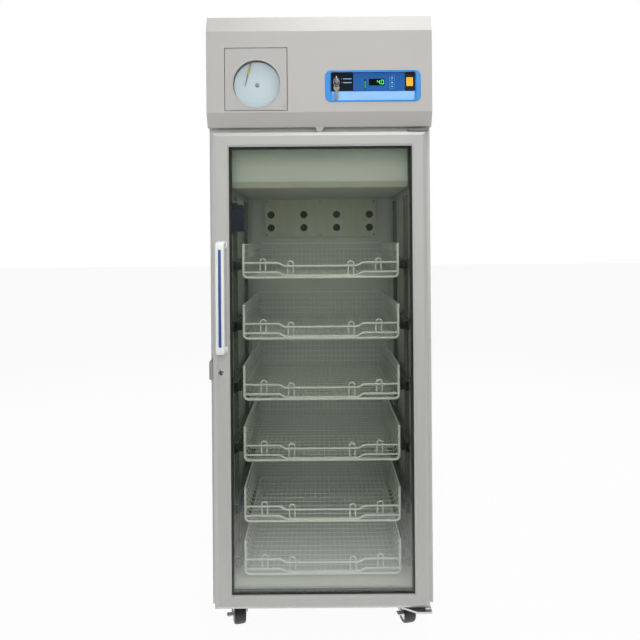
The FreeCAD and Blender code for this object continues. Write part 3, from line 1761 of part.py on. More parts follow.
def door_gasket():
    """Seal round the back of the door, just clear of the cabinet's face."""
    outer = "gasket_inset"
    inner = "gasket_inset + gasket_width"
    ring = frame(
        "door_gasket",
        (f"door_left + {outer}", f"door_right - ({outer})"),
        (f"door_bottom + {outer}", f"door_top - ({outer})"),
        (f"door_left + {inner}", f"door_right - ({inner})"),
        (f"door_bottom + {inner}", f"door_top - ({inner})"),
        ("door_back", "case_front - gasket_clearance"),
    )
    keep(ring, "door_gasket")


def door_handle():
    """Upright grip on two posts, with a groove down its front for the coloured insert."""
    body = doc.addObject("PartDesign::Body", "door_handle")
    side = sketch_in(body, "YZ_Plane", "handle_x", "handle_profile")
    outline(
        side,
        [
            ("handle_front", "handle_bottom"),
            ("door_front", "handle_bottom"),
            ("door_front", "handle_bottom + handle_post"),
            ("handle_rear", "handle_bottom + handle_post"),
            ("handle_rear", "handle_top - handle_post"),
            ("door_front", "handle_top - handle_post"),
            ("door_front", "handle_top"),
            ("handle_front", "handle_top"),
        ],
    )
    grip = feature(body, "Pad", side, "handle_width", "handle_grip", both_ways=True)
    front = value("handle_front")

    def front_upright(edge):
        return runs_along("z")(edge) and abs(edge.CenterOfMass.y - front) < PAST

    rounded(body, grip, "handle_corner", "handle_rounds", front_upright)
    groove = sketch_in(body, "XZ_Plane", f"-(handle_front - {PAST})", "insert_outline")
    groove_span = ("handle_bottom + insert_inset", "handle_top - insert_inset")
    rectangle(groove, around("handle_x", "insert_width"), groove_span)
    feature(body, "Pocket", groove, f"insert_depth + {PAST}", "insert_groove")
    keep(body, "door_handle")


def handle_insert():
    strip = box(
        "handle_insert",
        around("handle_x", "insert_width"),
        ("handle_front + insert_depth / 4", "handle_front + insert_depth"),
        ("handle_bottom + insert_inset", "handle_top - insert_inset"),
    )
    keep(strip, "handle_insert")


def lock_plug():
    """Lock plug in the left stile, with a keyway in its face."""
    plug = rod(
        "plug_body",
        "y",
        ("lock_x", "lock_z"),
        "lock_radius",
        ("door_front - lock_proud", "door_front + lock_depth"),
    )
    keyway = box(
        "plug_keyway",
        around("lock_x", "keyway_width"),
        (f"door_front - lock_proud - {PAST}", "door_front - lock_proud + keyway_depth"),
        around("lock_z", "keyway_length"),
    )
    keep(cut("lock_plug", plug, keyway), "lock_plug")


def lock_strike():
    """Rounded strike on the cabinet's face beside the door, with a pocket for the lock's bolt."""
    body = doc.addObject("PartDesign::Body", "lock_strike")
    face = sketch_in(body, "XZ_Plane", "-case_front", "strike_outline")
    rectangle(face, ("strike_left", "strike_right"), ("strike_bottom", "strike_top"))
    block = feature(body, "Pad", face, "strike_depth", "strike_block")
    rounded(body, block, "(strike_right - strike_left) / 3", "strike_rounds", runs_along("y"))
    slot = sketch_in(body, "YZ_Plane", f"strike_right + {PAST}", "strike_slot_outline")
    rectangle(
        slot,
        around("(case_front - strike_depth + strike_slot_depth)", "strike_slot_depth"),
        around("strike_middle_z", "strike_slot_height"),
    )
    feature(body, "Pocket", slot, f"(strike_right - strike_left) / 2 + {PAST}", "strike_slot")
    keep(body, "lock_strike")


def hinge_brackets():
    """Bottom plate under the case with its spacer and pin, and a top angle with its pin."""
    left = "hinge_x - hinge_plate_width + hinge_x_inset + hinge_x_inset"
    right = "hinge_x + hinge_x_inset + hinge_x_inset"
    nose = "door_front"
    plate = doc.addObject("PartDesign::Body", "bottom_hinge_plate")
    flat = sketch_in(plate, "XY_Plane", "case_bottom - hinge_plate", "hinge_plate_outline")
    outline(
        flat,
        [
            (left, "case_front + hinge_plate_lap"),
            (left, "case_front - gasket_thickness"),
            ("hinge_x - hinge_plate_nose", nose),
            (right, nose),
            (right, "case_front + hinge_plate_lap"),
        ],
    )
    feature(plate, "Pad", flat, "hinge_plate", "hinge_plate_pad")
    spacer = box(
        "hinge_spacer_block",
        around("hinge_x", "hinge_spacer"),
        around("hinge_y", "hinge_spacer"),
        ("case_bottom", "door_bottom - hinge_gap"),
    )
    pin = rod(
        "bottom_hinge_pin",
        "z",
        ("hinge_x", "hinge_y"),
        "hinge_pin_radius",
        (f"door_bottom - hinge_gap - {PAST}", "door_bottom + hinge_pin_depth"),
    )
    bottom = fuse("bottom_hinge", plate, spacer, pin)
    gap_bottom = "door_top + hinge_gap"
    top_left = "hinge_x + hinge_x_inset + hinge_x_inset - hinge_top_width"
    angle = box(
        "top_hinge_plate",
        (top_left, right),
        ("door_front + hinge_leaf", "case_front"),
        (gap_bottom, f"{gap_bottom} + hinge_leaf"),
    )
    leaf = box(
        "top_hinge_leaf",
        (top_left, right),
        ("case_front - hinge_leaf / 2", "case_front"),
        (gap_bottom, f"{gap_bottom} + hinge_leaf_height"),
    )
    top_pin = rod(
        "top_hinge_pin",
        "z",
        ("hinge_x", "hinge_y"),
        "hinge_pin_radius",
        ("door_top - hinge_pin_depth", f"{gap_bottom} + {PAST}"),
    )
    keep(group("hinge_brackets", bottom, fuse("top_hinge", angle, leaf, top_pin)), "hinge_brackets")


# Casters


def caster_corners():
    return [
        ("front_left", "front_caster_shift - caster_x", "front_swivel_y"),
        ("front_right", "front_caster_shift + caster_x", "front_swivel_y"),
        ("rear_left", "-caster_x", "rear_swivel_y"),
        ("rear_right", "caster_x", "rear_swivel_y"),
    ]


def caster_mounts():
    """Four plates under the case, one over each fork."""
    plates = []
    for name, x, y in caster_corners():
        sides = (around(f"({x})", "plate_side"), around(f"({y})", "plate_side"))
        plates.append(box(f"mount_plate_{name}", *sides, ("plate_bottom", "case_bottom")))
    keep(group("caster_mounts", *plates), "caster_mounts")


def fork():
    """Bent caster fork about its swivel axis, with legs that taper back and down to the axle."""
    body = doc.addObject("PartDesign::Body", "fork_plate")
    side = sketch_in(body, "YZ_Plane", "0", "fork_profile")
    heel = "wheel_radius - fork_leg_width / 2"
    outline(
        side,
        [
            ("-fork_radius", "fork_top"),
            ("-fork_radius", "fork_top - 2 * fork_crown"),
            ("caster_trail - fork_leg_width / 2", heel),
            ("caster_trail + fork_leg_width / 2", heel),
            ("caster_trail + fork_heel", "fork_top - 2 * fork_crown"),
            ("caster_trail + fork_heel", "fork_top"),
        ],
    )
    feature(body, "Pad", side, "2 * (fork_half + fork_sheet)", "fork_block", both_ways=True)
    gap = sketch_in(body, "YZ_Plane", "0", "fork_gap_outline")
    rectangle(gap, ("-2 * fork_radius", "caster_trail + 2 * fork_radius"), ("0", "fork_top - fork_crown"))
    feature(body, "Pocket", gap, "2 * fork_half", "fork_inside", both_ways=True)
    return body


def wheel():
    """Solid caster wheel about its axle line."""
    body = doc.addObject("PartDesign::Body", "wheel_master")
    rim = sketch_in(body, "YZ_Plane", "0", "wheel_outline")
    circle(rim, "0", "0", "wheel_radius")
    feature(body, "Pad", rim, "wheel_width", "wheel_disc", both_ways=True)
    return body


def brake():
    """Brake pedal beside the fork's left leg, level with the axle that it turns about."""
    near = "-fork_half - fork_sheet - swivel_gap"
    far = f"{near} - brake_sheet"
    arm = box(
        "brake_arm",
        (far, near),
        ("caster_trail - brake_length", "caster_trail + brake_arm_half"),
        ("wheel_radius - brake_arm_half", "wheel_radius + brake_arm_half"),
    )
    pedal = box(
        "brake_pedal",
        (f"{far} - brake_width", near),
        ("caster_trail - brake_length", "caster_trail - brake_length + brake_pedal_depth"),
        ("wheel_radius + brake_arm_half - brake_sheet", "wheel_radius + brake_arm_half"),
    )
    return fuse("brake_master", arm, pedal)


def casters():
    """Forks and wheels at the four corners, all swivelled alike, and brakes on the front pair."""
    fork_master = fork()
    wheel_master = wheel()
    brake_master = brake()
    turn = FreeCAD.Rotation(Vector(0, 0, 1), value("caster_turn"))
    trail = turn.multVec(Vector(0, value("caster_trail"), value("wheel_radius")))
    for name, x, y in caster_corners():
        parts = [("caster_fork", fork_master, Vector()), ("caster_wheel", wheel_master, trail)]
        if name.startswith("front"):
            parts.append(("caster_brake", brake_master, Vector()))
        for kind, master, offset in parts:
            item = group(f"{kind}_{name}", master)
            item.Placement = FreeCAD.Placement(Vector(), turn)
            bind(item, "Placement.Base.x", f"{x} + {offset.x:.6f}")
            bind(item, "Placement.Base.y", f"{y} + {offset.y:.6f}")
            bind(item, "Placement.Base.z", f"{offset.z:.6f}")
            keep(item, f"{kind}_{name}")


def failed_items():
    """Labels of objects that the last recompute left in an error."""
    bad = []
    for item in doc.Objects:
        if any(state in ("Invalid", "Error") for state in item.State):
            bad.append(item.Label)
    return bad


def export():
    """Write one file for each sub-part after testing every shape."""
    bad = failed_items()
    if bad:
        raise RuntimeError(f"these objects failed: {bad}")
    os.makedirs("parts", exist_ok=True)
    for item in nodes:
        shape = item.Shape
        if shape.isNull() or not shape.isValid() or not shape.Solids:
            raise RuntimeError(f"{item.Label} has no valid solid")
        shape.exportStep(f"parts/{item.Label}.step")
        print(f"{item.Label}: {len(shape.Solids)} solids, {shape.Volume / 1000:.1f} cm3")
    print(f"{len(nodes)} sub-parts")


fill_sheets()

outer_case()
insulation()
inner_liner()
rear_bumpers()
head_frame()
rear_grille()
condenser()
condenser_fan()
compressor()
power_inlet()

head_cover()
recorder_case()
recorder_door()
recorder_window()
chart_disc()
pen_arm()
control_bezel()
keypad()
display_window()
buttons()
power_rocker()
key_switch()
key()
spare_key()

evaporator_housing()
light_diffuser()
duct_panel()
probe_bottle()
drawer_tracks()
drawers()

door_frame()
door_glass()
glazing_bead()
door_gasket()
door_handle()
handle_insert()
lock_plug()
lock_strike()
hinge_brackets()

caster_mounts()
casters()

doc.recompute()
export()
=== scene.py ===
"""Finished surfaces, studio and camera for the glass-door pharmacy refrigerator.

Lengths are in millimetres inside the classes and become metres when a mesh is made.
X runs to the right of a person who faces the door, Y away from them and Z up.
"""

import enum
import logging
import math
from collections.abc import Iterable, Mapping, Sequence
from dataclasses import dataclass, field
from typing import Any

import bmesh
import bpy
import numpy as np
from mathutils import Matrix
from numpy.typing import ArrayLike


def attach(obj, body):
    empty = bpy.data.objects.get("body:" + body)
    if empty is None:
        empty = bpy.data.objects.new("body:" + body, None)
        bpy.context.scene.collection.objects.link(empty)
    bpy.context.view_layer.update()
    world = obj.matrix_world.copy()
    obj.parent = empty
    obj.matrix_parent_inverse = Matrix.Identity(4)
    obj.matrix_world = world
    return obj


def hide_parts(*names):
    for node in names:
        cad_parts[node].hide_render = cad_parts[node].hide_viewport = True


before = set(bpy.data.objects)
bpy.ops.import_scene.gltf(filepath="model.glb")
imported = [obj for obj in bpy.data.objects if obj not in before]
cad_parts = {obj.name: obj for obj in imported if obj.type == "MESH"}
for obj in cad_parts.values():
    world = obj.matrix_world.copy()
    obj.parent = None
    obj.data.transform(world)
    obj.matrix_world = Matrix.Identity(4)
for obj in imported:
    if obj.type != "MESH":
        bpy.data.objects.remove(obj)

log = logging.getLogger("pharmacy_refrigerator")

Color = tuple[float, float, float]

METRES_PER_MM = 0.001
BEVEL_LIMIT = math.radians(40.0)

# Middle of each caster's swivel in X and Y
CASTER_PLACES: dict[str, tuple[float, float]] = {
    "front_left": (-277.5, -285.0),
    "front_right": (286.5, -285.0),
    "rear_left": (-282.0, 361.0),
    "rear_right": (282.0, 361.0),
}


def srgb(red: float, green: float, blue: float) -> Color:
    """Linear colour of a screen colour given in steps of 0 to 255."""
    steps = np.array([red, green, blue]) / 255.0
    linear = np.where(steps <= 0.04045, steps / 12.92, ((steps + 0.055) / 1.055) ** 2.4)
    return tuple(float(part) for part in linear)


class Axis(enum.IntEnum):
    """Direction that a section is carried along or turned about."""

    X = 0
    Y = 1
    Z = 2


# Surfaces


@dataclass
class Surface:
    """Points in millimetres and faces as index arrays of one width each."""

    points: np.ndarray
    faces: list[np.ndarray] = field(default_factory=list)

    def __add__(self, other: "Surface") -> "Surface":
        """Both surfaces as one."""
        shifted = [face + len(self.points) for face in other.faces]
        return Surface(np.concatenate([self.points, other.points]), self.faces + shifted)

    def moved(self, x: float = 0.0, y: float = 0.0, z: float = 0.0) -> "Surface":
        """The surface shifted by x, y and z."""
        return Surface(self.points + np.array([x, y, z]), self.faces)

    def turned(self, degrees: float, axis: Axis, about: Sequence[float] = (0.0, 0.0, 0.0)) -> "Surface":
        """The surface turned by the right-hand rule about an axis through a point."""
        turn = np.array(Matrix.Rotation(math.radians(degrees), 3, axis.name))
        middle = np.asarray(about, float)
        return Surface((self.points - middle) @ turn.T + middle, self.faces)

    def repeated(self, offsets: ArrayLike) -> "Surface":
        """One copy at each offset: every point plus every offset."""
        offsets = np.asarray(offsets, float).reshape(-1, 3)
        points = (self.points[None] + offsets[:, None]).reshape(-1, 3)
        step = np.arange(len(offsets))[:, None, None] * len(self.points)
        return Surface(points, [(face[None] + step).reshape(-1, face.shape[1]) for face in self.faces])


def joined(parts: Iterable[Surface]) -> Surface:
    """All the surfaces as one."""
    whole, *rest = parts
    for part in rest:
        whole = whole + part
    return whole


def skin(grid: np.ndarray, wrap_rows: bool = False, wrap_columns: bool = False) -> Surface:
    """Quads between neighbours of a grid of points, which may close on itself either way.

    Args:
        grid: points as rows, columns and coordinates.
        wrap_rows: joins the last row to the first.
        wrap_columns: joins the last column to the first.

    Returns:
        The surface through the grid.
    """
    rows, columns = grid.shape[:2]
    row = np.arange(rows if wrap_rows else rows - 1)[:, None]
    column = np.arange(columns if wrap_columns else columns - 1)[None, :]
    next_row, next_column = (row + 1) % rows, (column + 1) % columns
    corners = (
        row * columns + column,
        row * columns + next_column,
        next_row * columns + next_column,
        next_row * columns + column,
    )
    quads = np.stack([np.broadcast_to(c, (row.size, column.size)) for c in corners], axis=-1)
    return Surface(grid.reshape(-1, 3), [quads.reshape(-1, 4)])


def closed_tube(grid: np.ndarray) -> Surface:
    """A grid whose columns close into rings, with a flat cap on its first and last ring."""
    rows, columns = grid.shape[:2]
    tube = skin(grid, wrap_columns=True)
    first = np.arange(columns)[None, ::-1]
    last = (rows - 1) * columns + np.arange(columns)[None]
    return Surface(tube.points, [*tube.faces, first, last])


def planes_of(axis: Axis) -> tuple[int, int]:
    """The two other directions in cyclic order: Y and Z for X, Z and X for Y, X and Y for Z."""
    return (axis + 1) % 3, (axis + 2) % 3


def turned_rings(
    profile: Sequence[tuple[float, float]], centre: Sequence[float], axis: Axis, segments: int
) -> np.ndarray:
    """A ring of points for each (radius, height) of a profile.

    Each point is centre + height along the axis + radius (cos t, sin t) across it.

    Args:
        profile: radius and height of each ring.
        centre: the point that heights are counted from.
        axis: direction of the axis.
        segments: points in a ring.

    Returns:
        The grid of points, ring by ring.
    """
    radius, height = np.asarray(profile, float).T
    turn = np.linspace(0.0, 2.0 * math.pi, segments, endpoint=False)
    across, up = planes_of(axis)
    grid = np.empty((len(radius), segments, 3))
    grid[..., axis] = height[:, None]
    grid[..., across] = radius[:, None] * np.cos(turn)
    grid[..., up] = radius[:, None] * np.sin(turn)
    return grid + np.asarray(centre, float)


def lathe(
    profile: Sequence[tuple[float, float]], centre: Sequence[float], axis: Axis, segments: int = 32
) -> Surface:
    """A profile of (radius, height) turned about an axis, capped at both ends."""
    return closed_tube(turned_rings(profile, centre, axis, segments))


def ring_lathe(
    profile: Sequence[tuple[float, float]], centre: Sequence[float], axis: Axis, segments: int = 48
) -> Surface:
    """A closed profile of (radius, height) turned about an axis into a ring."""
    return skin(turned_rings(profile, centre, axis, segments), wrap_rows=True, wrap_columns=True)


def blocks(lows: Sequence[Sequence[float]], highs: Sequence[Sequence[float]]) -> Surface:
    """One block for each pair of lowest and highest corners."""
    low = np.asarray(lows, float).reshape(-1, 1, 3)
    high = np.asarray(highs, float).reshape(-1, 1, 3)
    pick = np.array([[i & 1, i >> 1 & 1, i >> 2 & 1] for i in range(8)])
    points = low + (high - low) * pick
    sides = np.array(
        [[0, 2, 3, 1], [4, 5, 7, 6], [0, 1, 5, 4], [2, 6, 7, 3], [0, 4, 6, 2], [1, 3, 7, 5]]
    )
    faces = (sides[None] + 8 * np.arange(len(points))[:, None, None]).reshape(-1, 4)
    return Surface(points.reshape(-1, 3), [faces])


def around(middle: float, size: float) -> tuple[float, float]:
    """The two ends of a size centred on a place."""
    return middle - size / 2.0, middle + size / 2.0


def square(x: float, y: float, size: float) -> list[tuple[float, float]]:
    """The four corners of a square about a place."""
    return [(a, b) for a in around(x, size) for b in around(y, size)]


def block(x: tuple[float, float], y: tuple[float, float], z: tuple[float, float]) -> Surface:
    """A block between two places along each direction."""
    low, high = zip(x, y, z)
    return blocks([low], [high])


def round_rectangle(width: float, height: float, radius: float, steps: int = 6) -> np.ndarray:
    """Outline of a centred rectangle whose corners are quarter circles, counter-clockwise."""
    turn = np.linspace(0.0, math.pi / 2.0, steps)[None] + np.arange(4)[:, None] * math.pi / 2.0
    signs = np.array([[1, 1], [-1, 1], [-1, -1], [1, -1]])[:, None]
    corner = signs * (np.array([width, height]) / 2.0 - radius)
    arcs = corner + radius * np.stack([np.cos(turn), np.sin(turn)], axis=-1)
    return arcs.reshape(-1, 2)


def prism(outline: np.ndarray, axis: Axis, low: float, high: float, soften: float = 0.0) -> Surface:
    """An outline carried along an axis, its two rims drawn in by a small quarter round.

    Args:
        outline: points in the two other directions, in cyclic order.
        axis: direction of the run.
        low: start of the run.
        high: end of the run.
        soften: radius of the rims.

    Returns:
        The closed solid.
    """
    outline = np.asarray(outline, float)
    middle = outline.mean(axis=0)
    reach = np.abs(outline - middle).max()
    turn = np.linspace(0.0, math.pi / 2.0, 4) if soften else np.array([math.pi / 2.0])
    inset = soften * (1.0 - np.sin(turn))
    rise = soften * (1.0 - np.cos(turn))
    levels = np.concatenate([low + rise, high - rise[::-1]])
    shares = 1.0 - np.concatenate([inset, inset[::-1]]) / reach
    across, up = planes_of(axis)
    grid = np.empty((len(levels), len(outline), 3))
    grid[..., axis] = levels[:, None]
    flat = middle + (outline - middle)[None] * shares[:, None, None]
    grid[..., across] = flat[..., 0]
    grid[..., up] = flat[..., 1]
    return closed_tube(grid)


def extruded(outline: ArrayLike, near: float, far: float) -> Surface:
    """An outline in X and Z carried along Y."""
    return prism(np.asarray(outline)[:, ::-1], Axis.Y, near, far)


def holed_plate(outer: np.ndarray, inner: np.ndarray, axis: Axis, low: float, high: float) -> Surface:
    """A plate between two outlines of the same number of points, carried along an axis."""
    across, up = planes_of(axis)
    grid = np.empty((4, len(outer), 3))
    for row, (outline, level) in enumerate(((outer, low), (outer, high), (inner, high), (inner, low))):
        grid[row, :, axis] = level
        grid[row, :, across] = outline[:, 0]
        grid[row, :, up] = outline[:, 1]
    return skin(grid, wrap_rows=True, wrap_columns=True)


def bent(
    corners: Sequence[Sequence[float]], radius: float, steps: int = 6, closed: bool = False
) -> np.ndarray:
    """A line of corners with each inner one turned into an arc.

    With a and b the directions to its neighbours, an arc's centre lies on their
    bisector, radius / sin(half the angle) from the corner, and the arc runs between the
    points radius / tan(half the angle) along a and b.

    Args:
        corners: the line's corners.
        radius: radius of every arc.
        steps: pieces in an arc.
        closed: joins the last corner to the first.

    Returns:
        The points of the bent line.
    """
    line = np.asarray(corners, float)
    before, inner, after = np.roll(line, 1, 0), line, np.roll(line, -1, 0)
    if not closed:
        before, inner, after = before[1:-1], inner[1:-1], after[1:-1]
    back = (before - inner) / np.linalg.norm(before - inner, axis=1, keepdims=True)
    ahead = (after - inner) / np.linalg.norm(after - inner, axis=1, keepdims=True)
    half = 0.5 * np.arccos(np.clip((back * ahead).sum(1), -1.0, 1.0))[:, None]
    bisector = (back + ahead) / np.linalg.norm(back + ahead, axis=1, keepdims=True)
    centre = inner + bisector * radius / np.sin(half)
    start = inner + back * radius / np.tan(half) - centre
    stop = inner + ahead * radius / np.tan(half) - centre
    sweep = (math.pi - 2.0 * half)[:, None]
    share = np.linspace(0.0, 1.0, steps + 1)[None, :, None]
    arcs = start[:, None] * np.sin((1.0 - share) * sweep) + stop[:, None] * np.sin(share * sweep)
    points = (centre[:, None] + arcs / np.sin(sweep)).reshape(-1, 3)
    return points if closed else np.concatenate([line[:1], points, line[-1:]])


def swept(
    path: np.ndarray,
    section: np.ndarray,
    upright: Sequence[float],
    closed: bool = False,
    shrink: np.ndarray | None = None,
) -> Surface:
    """A section carried along a path that bends in one plane.

    A section point (u, v) lies at path + u (upright) + v (upright x tangent), widened at a
    corner by one over the cosine of half its turn.

    Args:
        path: points of the path.
        section: outline in the two directions across the path.
        upright: normal of the plane that the path bends in.
        closed: joins the path's ends.
        shrink: share of the section's size at each point.

    Returns:
        The closed tube.
    """
    if closed:
        ahead, back = np.roll(path, -1, 0) - path, path - np.roll(path, 1, 0)
    else:
        steps = np.diff(path, axis=0)
        ahead, back = np.concatenate([steps, steps[-1:]]), np.concatenate([steps[:1], steps])
    ahead = ahead / np.linalg.norm(ahead, axis=1, keepdims=True)
    back = back / np.linalg.norm(back, axis=1, keepdims=True)
    tangent = ahead + back
    tangent /= np.linalg.norm(tangent, axis=1, keepdims=True)
    widen = 1.0 / np.clip((tangent * ahead).sum(1), 0.5, 1.0)
    normal = np.asarray(upright, float)
    side = np.cross(normal, tangent) * widen[:, None]
    size = np.ones(len(path)) if shrink is None else shrink
    grid = (
        path[:, None]
        + size[:, None, None] * section[None, :, :1] * normal
        + size[:, None, None] * section[None, :, 1:] * side[:, None]
    )
    return skin(grid, wrap_rows=True, wrap_columns=True) if closed else closed_tube(grid)


def circle(radius: float, sides: int) -> np.ndarray:
    """Outline of a circle about the origin."""
    turn = np.linspace(0.0, 2.0 * math.pi, sides, endpoint=False)
    return radius * np.stack([np.cos(turn), np.sin(turn)], axis=-1)


def wire(
    path: np.ndarray, radius: float, upright: Sequence[float], sides: int = 10, closed: bool = False
) -> Surface:
    """A round wire along a path, with domed ends where it isn't closed."""
    path = np.asarray(path, float)
    if closed:
        return swept(path, circle(radius, sides), upright, closed=True)
    angle = np.array([0.15, 0.55, 1.0]) * math.pi / 2.0
    depth = radius * (1.0 - np.cos(angle))[:, None]
    inward = (path[1] - path[0]) / np.linalg.norm(path[1] - path[0])
    outward = (path[-1] - path[-2]) / np.linalg.norm(path[-1] - path[-2])
    whole = np.concatenate([path[0] + depth * inward, path[1:-1], (path[-1] - depth * outward)[::-1]])
    shrink = np.concatenate([np.sin(angle), np.ones(len(path) - 2), np.sin(angle)[::-1]])
    return swept(whole, circle(radius, sides), upright, shrink=shrink)


def ball(centre: Sequence[float], radius: float, segments: int = 12) -> Surface:
    """A sphere: radius sin(a) at height -radius cos(a), with tiny flat poles."""
    angle = np.linspace(0.04, math.pi - 0.04, segments // 2 + 1)
    profile = np.stack([radius * np.sin(angle), -radius * np.cos(angle)], axis=-1)
    return lathe(profile, centre, Axis.Z, segments)


def screw_head(
    radius: float, axis: Axis, sign: float, centre: Sequence[float] = (0.0, 0.0, 0.0)
) -> Surface:
    """A pan head: a quarter-round rim rising to a crown, with a round driver recess.

    Args:
        radius: radius of the head.
        axis: direction the head faces along.
        sign: plus or minus one along that axis.
        centre: middle of the seat.

    Returns:
        The closed head.
    """
    share = np.array(
        [[1.0, 0.0], [1.0, 0.22], [0.92, 0.36], [0.75, 0.47], [0.42, 0.55], [0.36, 0.30], [0.02, 0.24]]
    )
    profile = share * radius * np.array([1.0, sign])
    return lathe(profile, centre, axis, 16)


def screws(
    radius: float, sign: float, columns: Iterable[float], face: float, levels: Iterable[float]
) -> Surface:
    """Pan heads on a face across Y, one at each column and level.

    Args:
        radius: radius of each head.
        sign: minus one where the heads face the front, plus one where they face the back.
        columns: places along X.
        face: the face's place along Y.
        levels: places along Z.

    Returns:
        All the heads.
    """
    places = [(x, face, z) for x in columns for z in levels]
    return screw_head(radius, Axis.Y, sign).repeated(places)


# Finishes


class Shader:
    """Adds shader nodes to one material or world and joins their sockets."""

    def __init__(self, owner: bpy.types.Material | bpy.types.World) -> None:
        """Empties the owner's node tree."""
        owner.use_nodes = True
        self.tree = owner.node_tree
        self.tree.nodes.clear()

    def add(
        self, kind: str, inputs: Mapping[str | int, Any] | None = None, **settings: Any
    ) -> bpy.types.Node:
        """Adds a node.

        Args:
            kind: the node's type.
            inputs: sockets or plain values by the input's name or number.
            settings: the node's own options.

        Returns:
            The node.
        """
        node = self.tree.nodes.new(kind)
        for name, setting in settings.items():
            setattr(node, name, setting)
        for key, given in (inputs or {}).items():
            if isinstance(given, bpy.types.NodeSocket):
                self.tree.links.new(given, node.inputs[key])
            else:
                node.inputs[key].default_value = given
        return node

    def place(
        self, stretch: Sequence[float] = (1.0, 1.0, 1.0), centre: Sequence[float] = (0.0, 0.0, 0.0)
    ) -> Any:
        """The object coordinates about a centre, multiplied along each direction."""
        origin = tuple(-c * s for c, s in zip(centre, stretch))
        where = self.add("ShaderNodeTexCoord").outputs["Object"]
        inputs = {"Vector": where, "Location": origin, "Scale": tuple(stretch)}
        return self.add("ShaderNodeMapping", inputs).outputs["Vector"]

    def noise(self, where: Any, scale: float, detail: float = 3.0) -> Any:
        """A cloud of values from 0 to 1."""
        inputs = {"Vector": where, "Scale": scale, "Detail": detail}
        return self.add("ShaderNodeTexNoise", inputs).outputs["Fac"]

    def ranged(self, given: Any, low: float, high: float, start: float = 0.3, stop: float = 0.7) -> Any:
        """A value stretched from start and stop to low and high."""
        inputs = {"Value": given, "From Min": start, "From Max": stop, "To Min": low, "To Max": high}
        return self.add("ShaderNodeMapRange", inputs).outputs["Result"]

    def mixed(self, share: Any, first: Any, second: Any) -> Any:
        """A blend of two colours."""
        node = self.add("ShaderNodeMix", data_type="RGBA")
        for number, given in ((0, share), (6, first), (7, second)):
            socket = node.inputs[number]
            if isinstance(given, bpy.types.NodeSocket):
                self.tree.links.new(given, socket)
            else:
                socket.default_value = (*given, 1.0) if isinstance(given, tuple) else given
        return node.outputs[2]

    def math(self, operation: str, *given: Any) -> Any:
        """One step of arithmetic."""
        return self.add("ShaderNodeMath", dict(enumerate(given)), operation=operation).outputs[0]

    def blend(self, share: Any, first: Any, second: Any) -> Any:
        """A blend of two shaders."""
        return self.add("ShaderNodeMixShader", {0: share, 1: first, 2: second}).outputs[0]

    def white(self, kind: str, **inputs: Any) -> Any:
        """A white shader of one kind."""
        return self.add(kind, {"Color": (1.0, 1.0, 1.0, 1.0), **inputs}).outputs[0]


# Materials made so far, by the finish's name: a packed material may bear the same name.
BUILT: dict[str, bpy.types.Material] = {}


@dataclass(frozen=True)
class Finish:
    """An opaque finish: a base colour with faint clouds, a grain in relief and a varied gloss."""

    name: str
    color: Color
    roughness: float = 0.45
    gloss_spread: float = 0.06
    metallic: float = 0.0
    cloud: float = 0.03
    cloud_scale: float = 6.0
    grain: float = 0.12
    grain_scale: float = 900.0
    grain_depth: float = 0.0004
    stretch: tuple[float, float, float] = (1.0, 1.0, 1.0)
    rounding: float = 0.0008
    rib_pitch: float = 0.0
    rib_relief: float = 0.0006
    coat: float = 0.0

    def material(self) -> bpy.types.Material:
        """The material of this finish, built once."""
        if self.name not in BUILT:
            BUILT[self.name] = bpy.data.materials.new(self.name)
            shader = Shader(BUILT[self.name])
            shader.add("ShaderNodeOutputMaterial", {"Surface": self.surface(shader)})
        return BUILT[self.name]

    def tint(self, shader: Shader) -> Any:
        """The colour socket: the base colour a little darker and lighter in clouds."""
        clouds = shader.noise(shader.place(), self.cloud_scale, 5.0)
        dark = tuple(part * (1.0 - self.cloud) for part in self.color)
        light = tuple(min(1.0, part * (1.0 + self.cloud)) for part in self.color)
        return shader.mixed(shader.ranged(clouds, 0.0, 1.0), dark, light)

    def relief(self, shader: Shader) -> Any:
        """The normal socket: rounded edges, grain and, where there are any, upright ribs."""
        edge = shader.add("ShaderNodeBevel", {"Radius": self.rounding}, samples=4).outputs["Normal"]
        grain = shader.noise(shader.place(self.stretch), self.grain_scale, 2.0)
        inputs = {"Height": grain, "Normal": edge, "Strength": self.grain, "Distance": self.grain_depth}
        normal = shader.add("ShaderNodeBump", inputs).outputs["Normal"]
        if not self.rib_pitch:
            return normal
        place = shader.add("ShaderNodeSeparateXYZ", {"Vector": shader.place()}).outputs["X"]
        wave = shader.math("SINE", shader.math("MULTIPLY", place, 2.0 * math.pi / self.rib_pitch))
        inputs = {"Height": wave, "Normal": normal, "Strength": 1.0, "Distance": self.rib_relief}
        return shader.add("ShaderNodeBump", inputs).outputs["Normal"]

    def surface(self, shader: Shader) -> Any:
        """The opaque shader, its gloss varied in smudges."""
        smudge = shader.noise(shader.place(self.stretch), self.cloud_scale * 7.0, 4.0)
        low, high = max(0.02, self.roughness - self.gloss_spread), self.roughness + self.gloss_spread
        inputs = {
            "Base Color": self.tint(shader),
            "Roughness": shader.ranged(smudge, low, high),
            "Metallic": self.metallic,
            "Normal": self.relief(shader),
            "Coat Weight": self.coat,
        }
        return shader.add("ShaderNodeBsdfPrincipled", inputs).outputs["BSDF"]


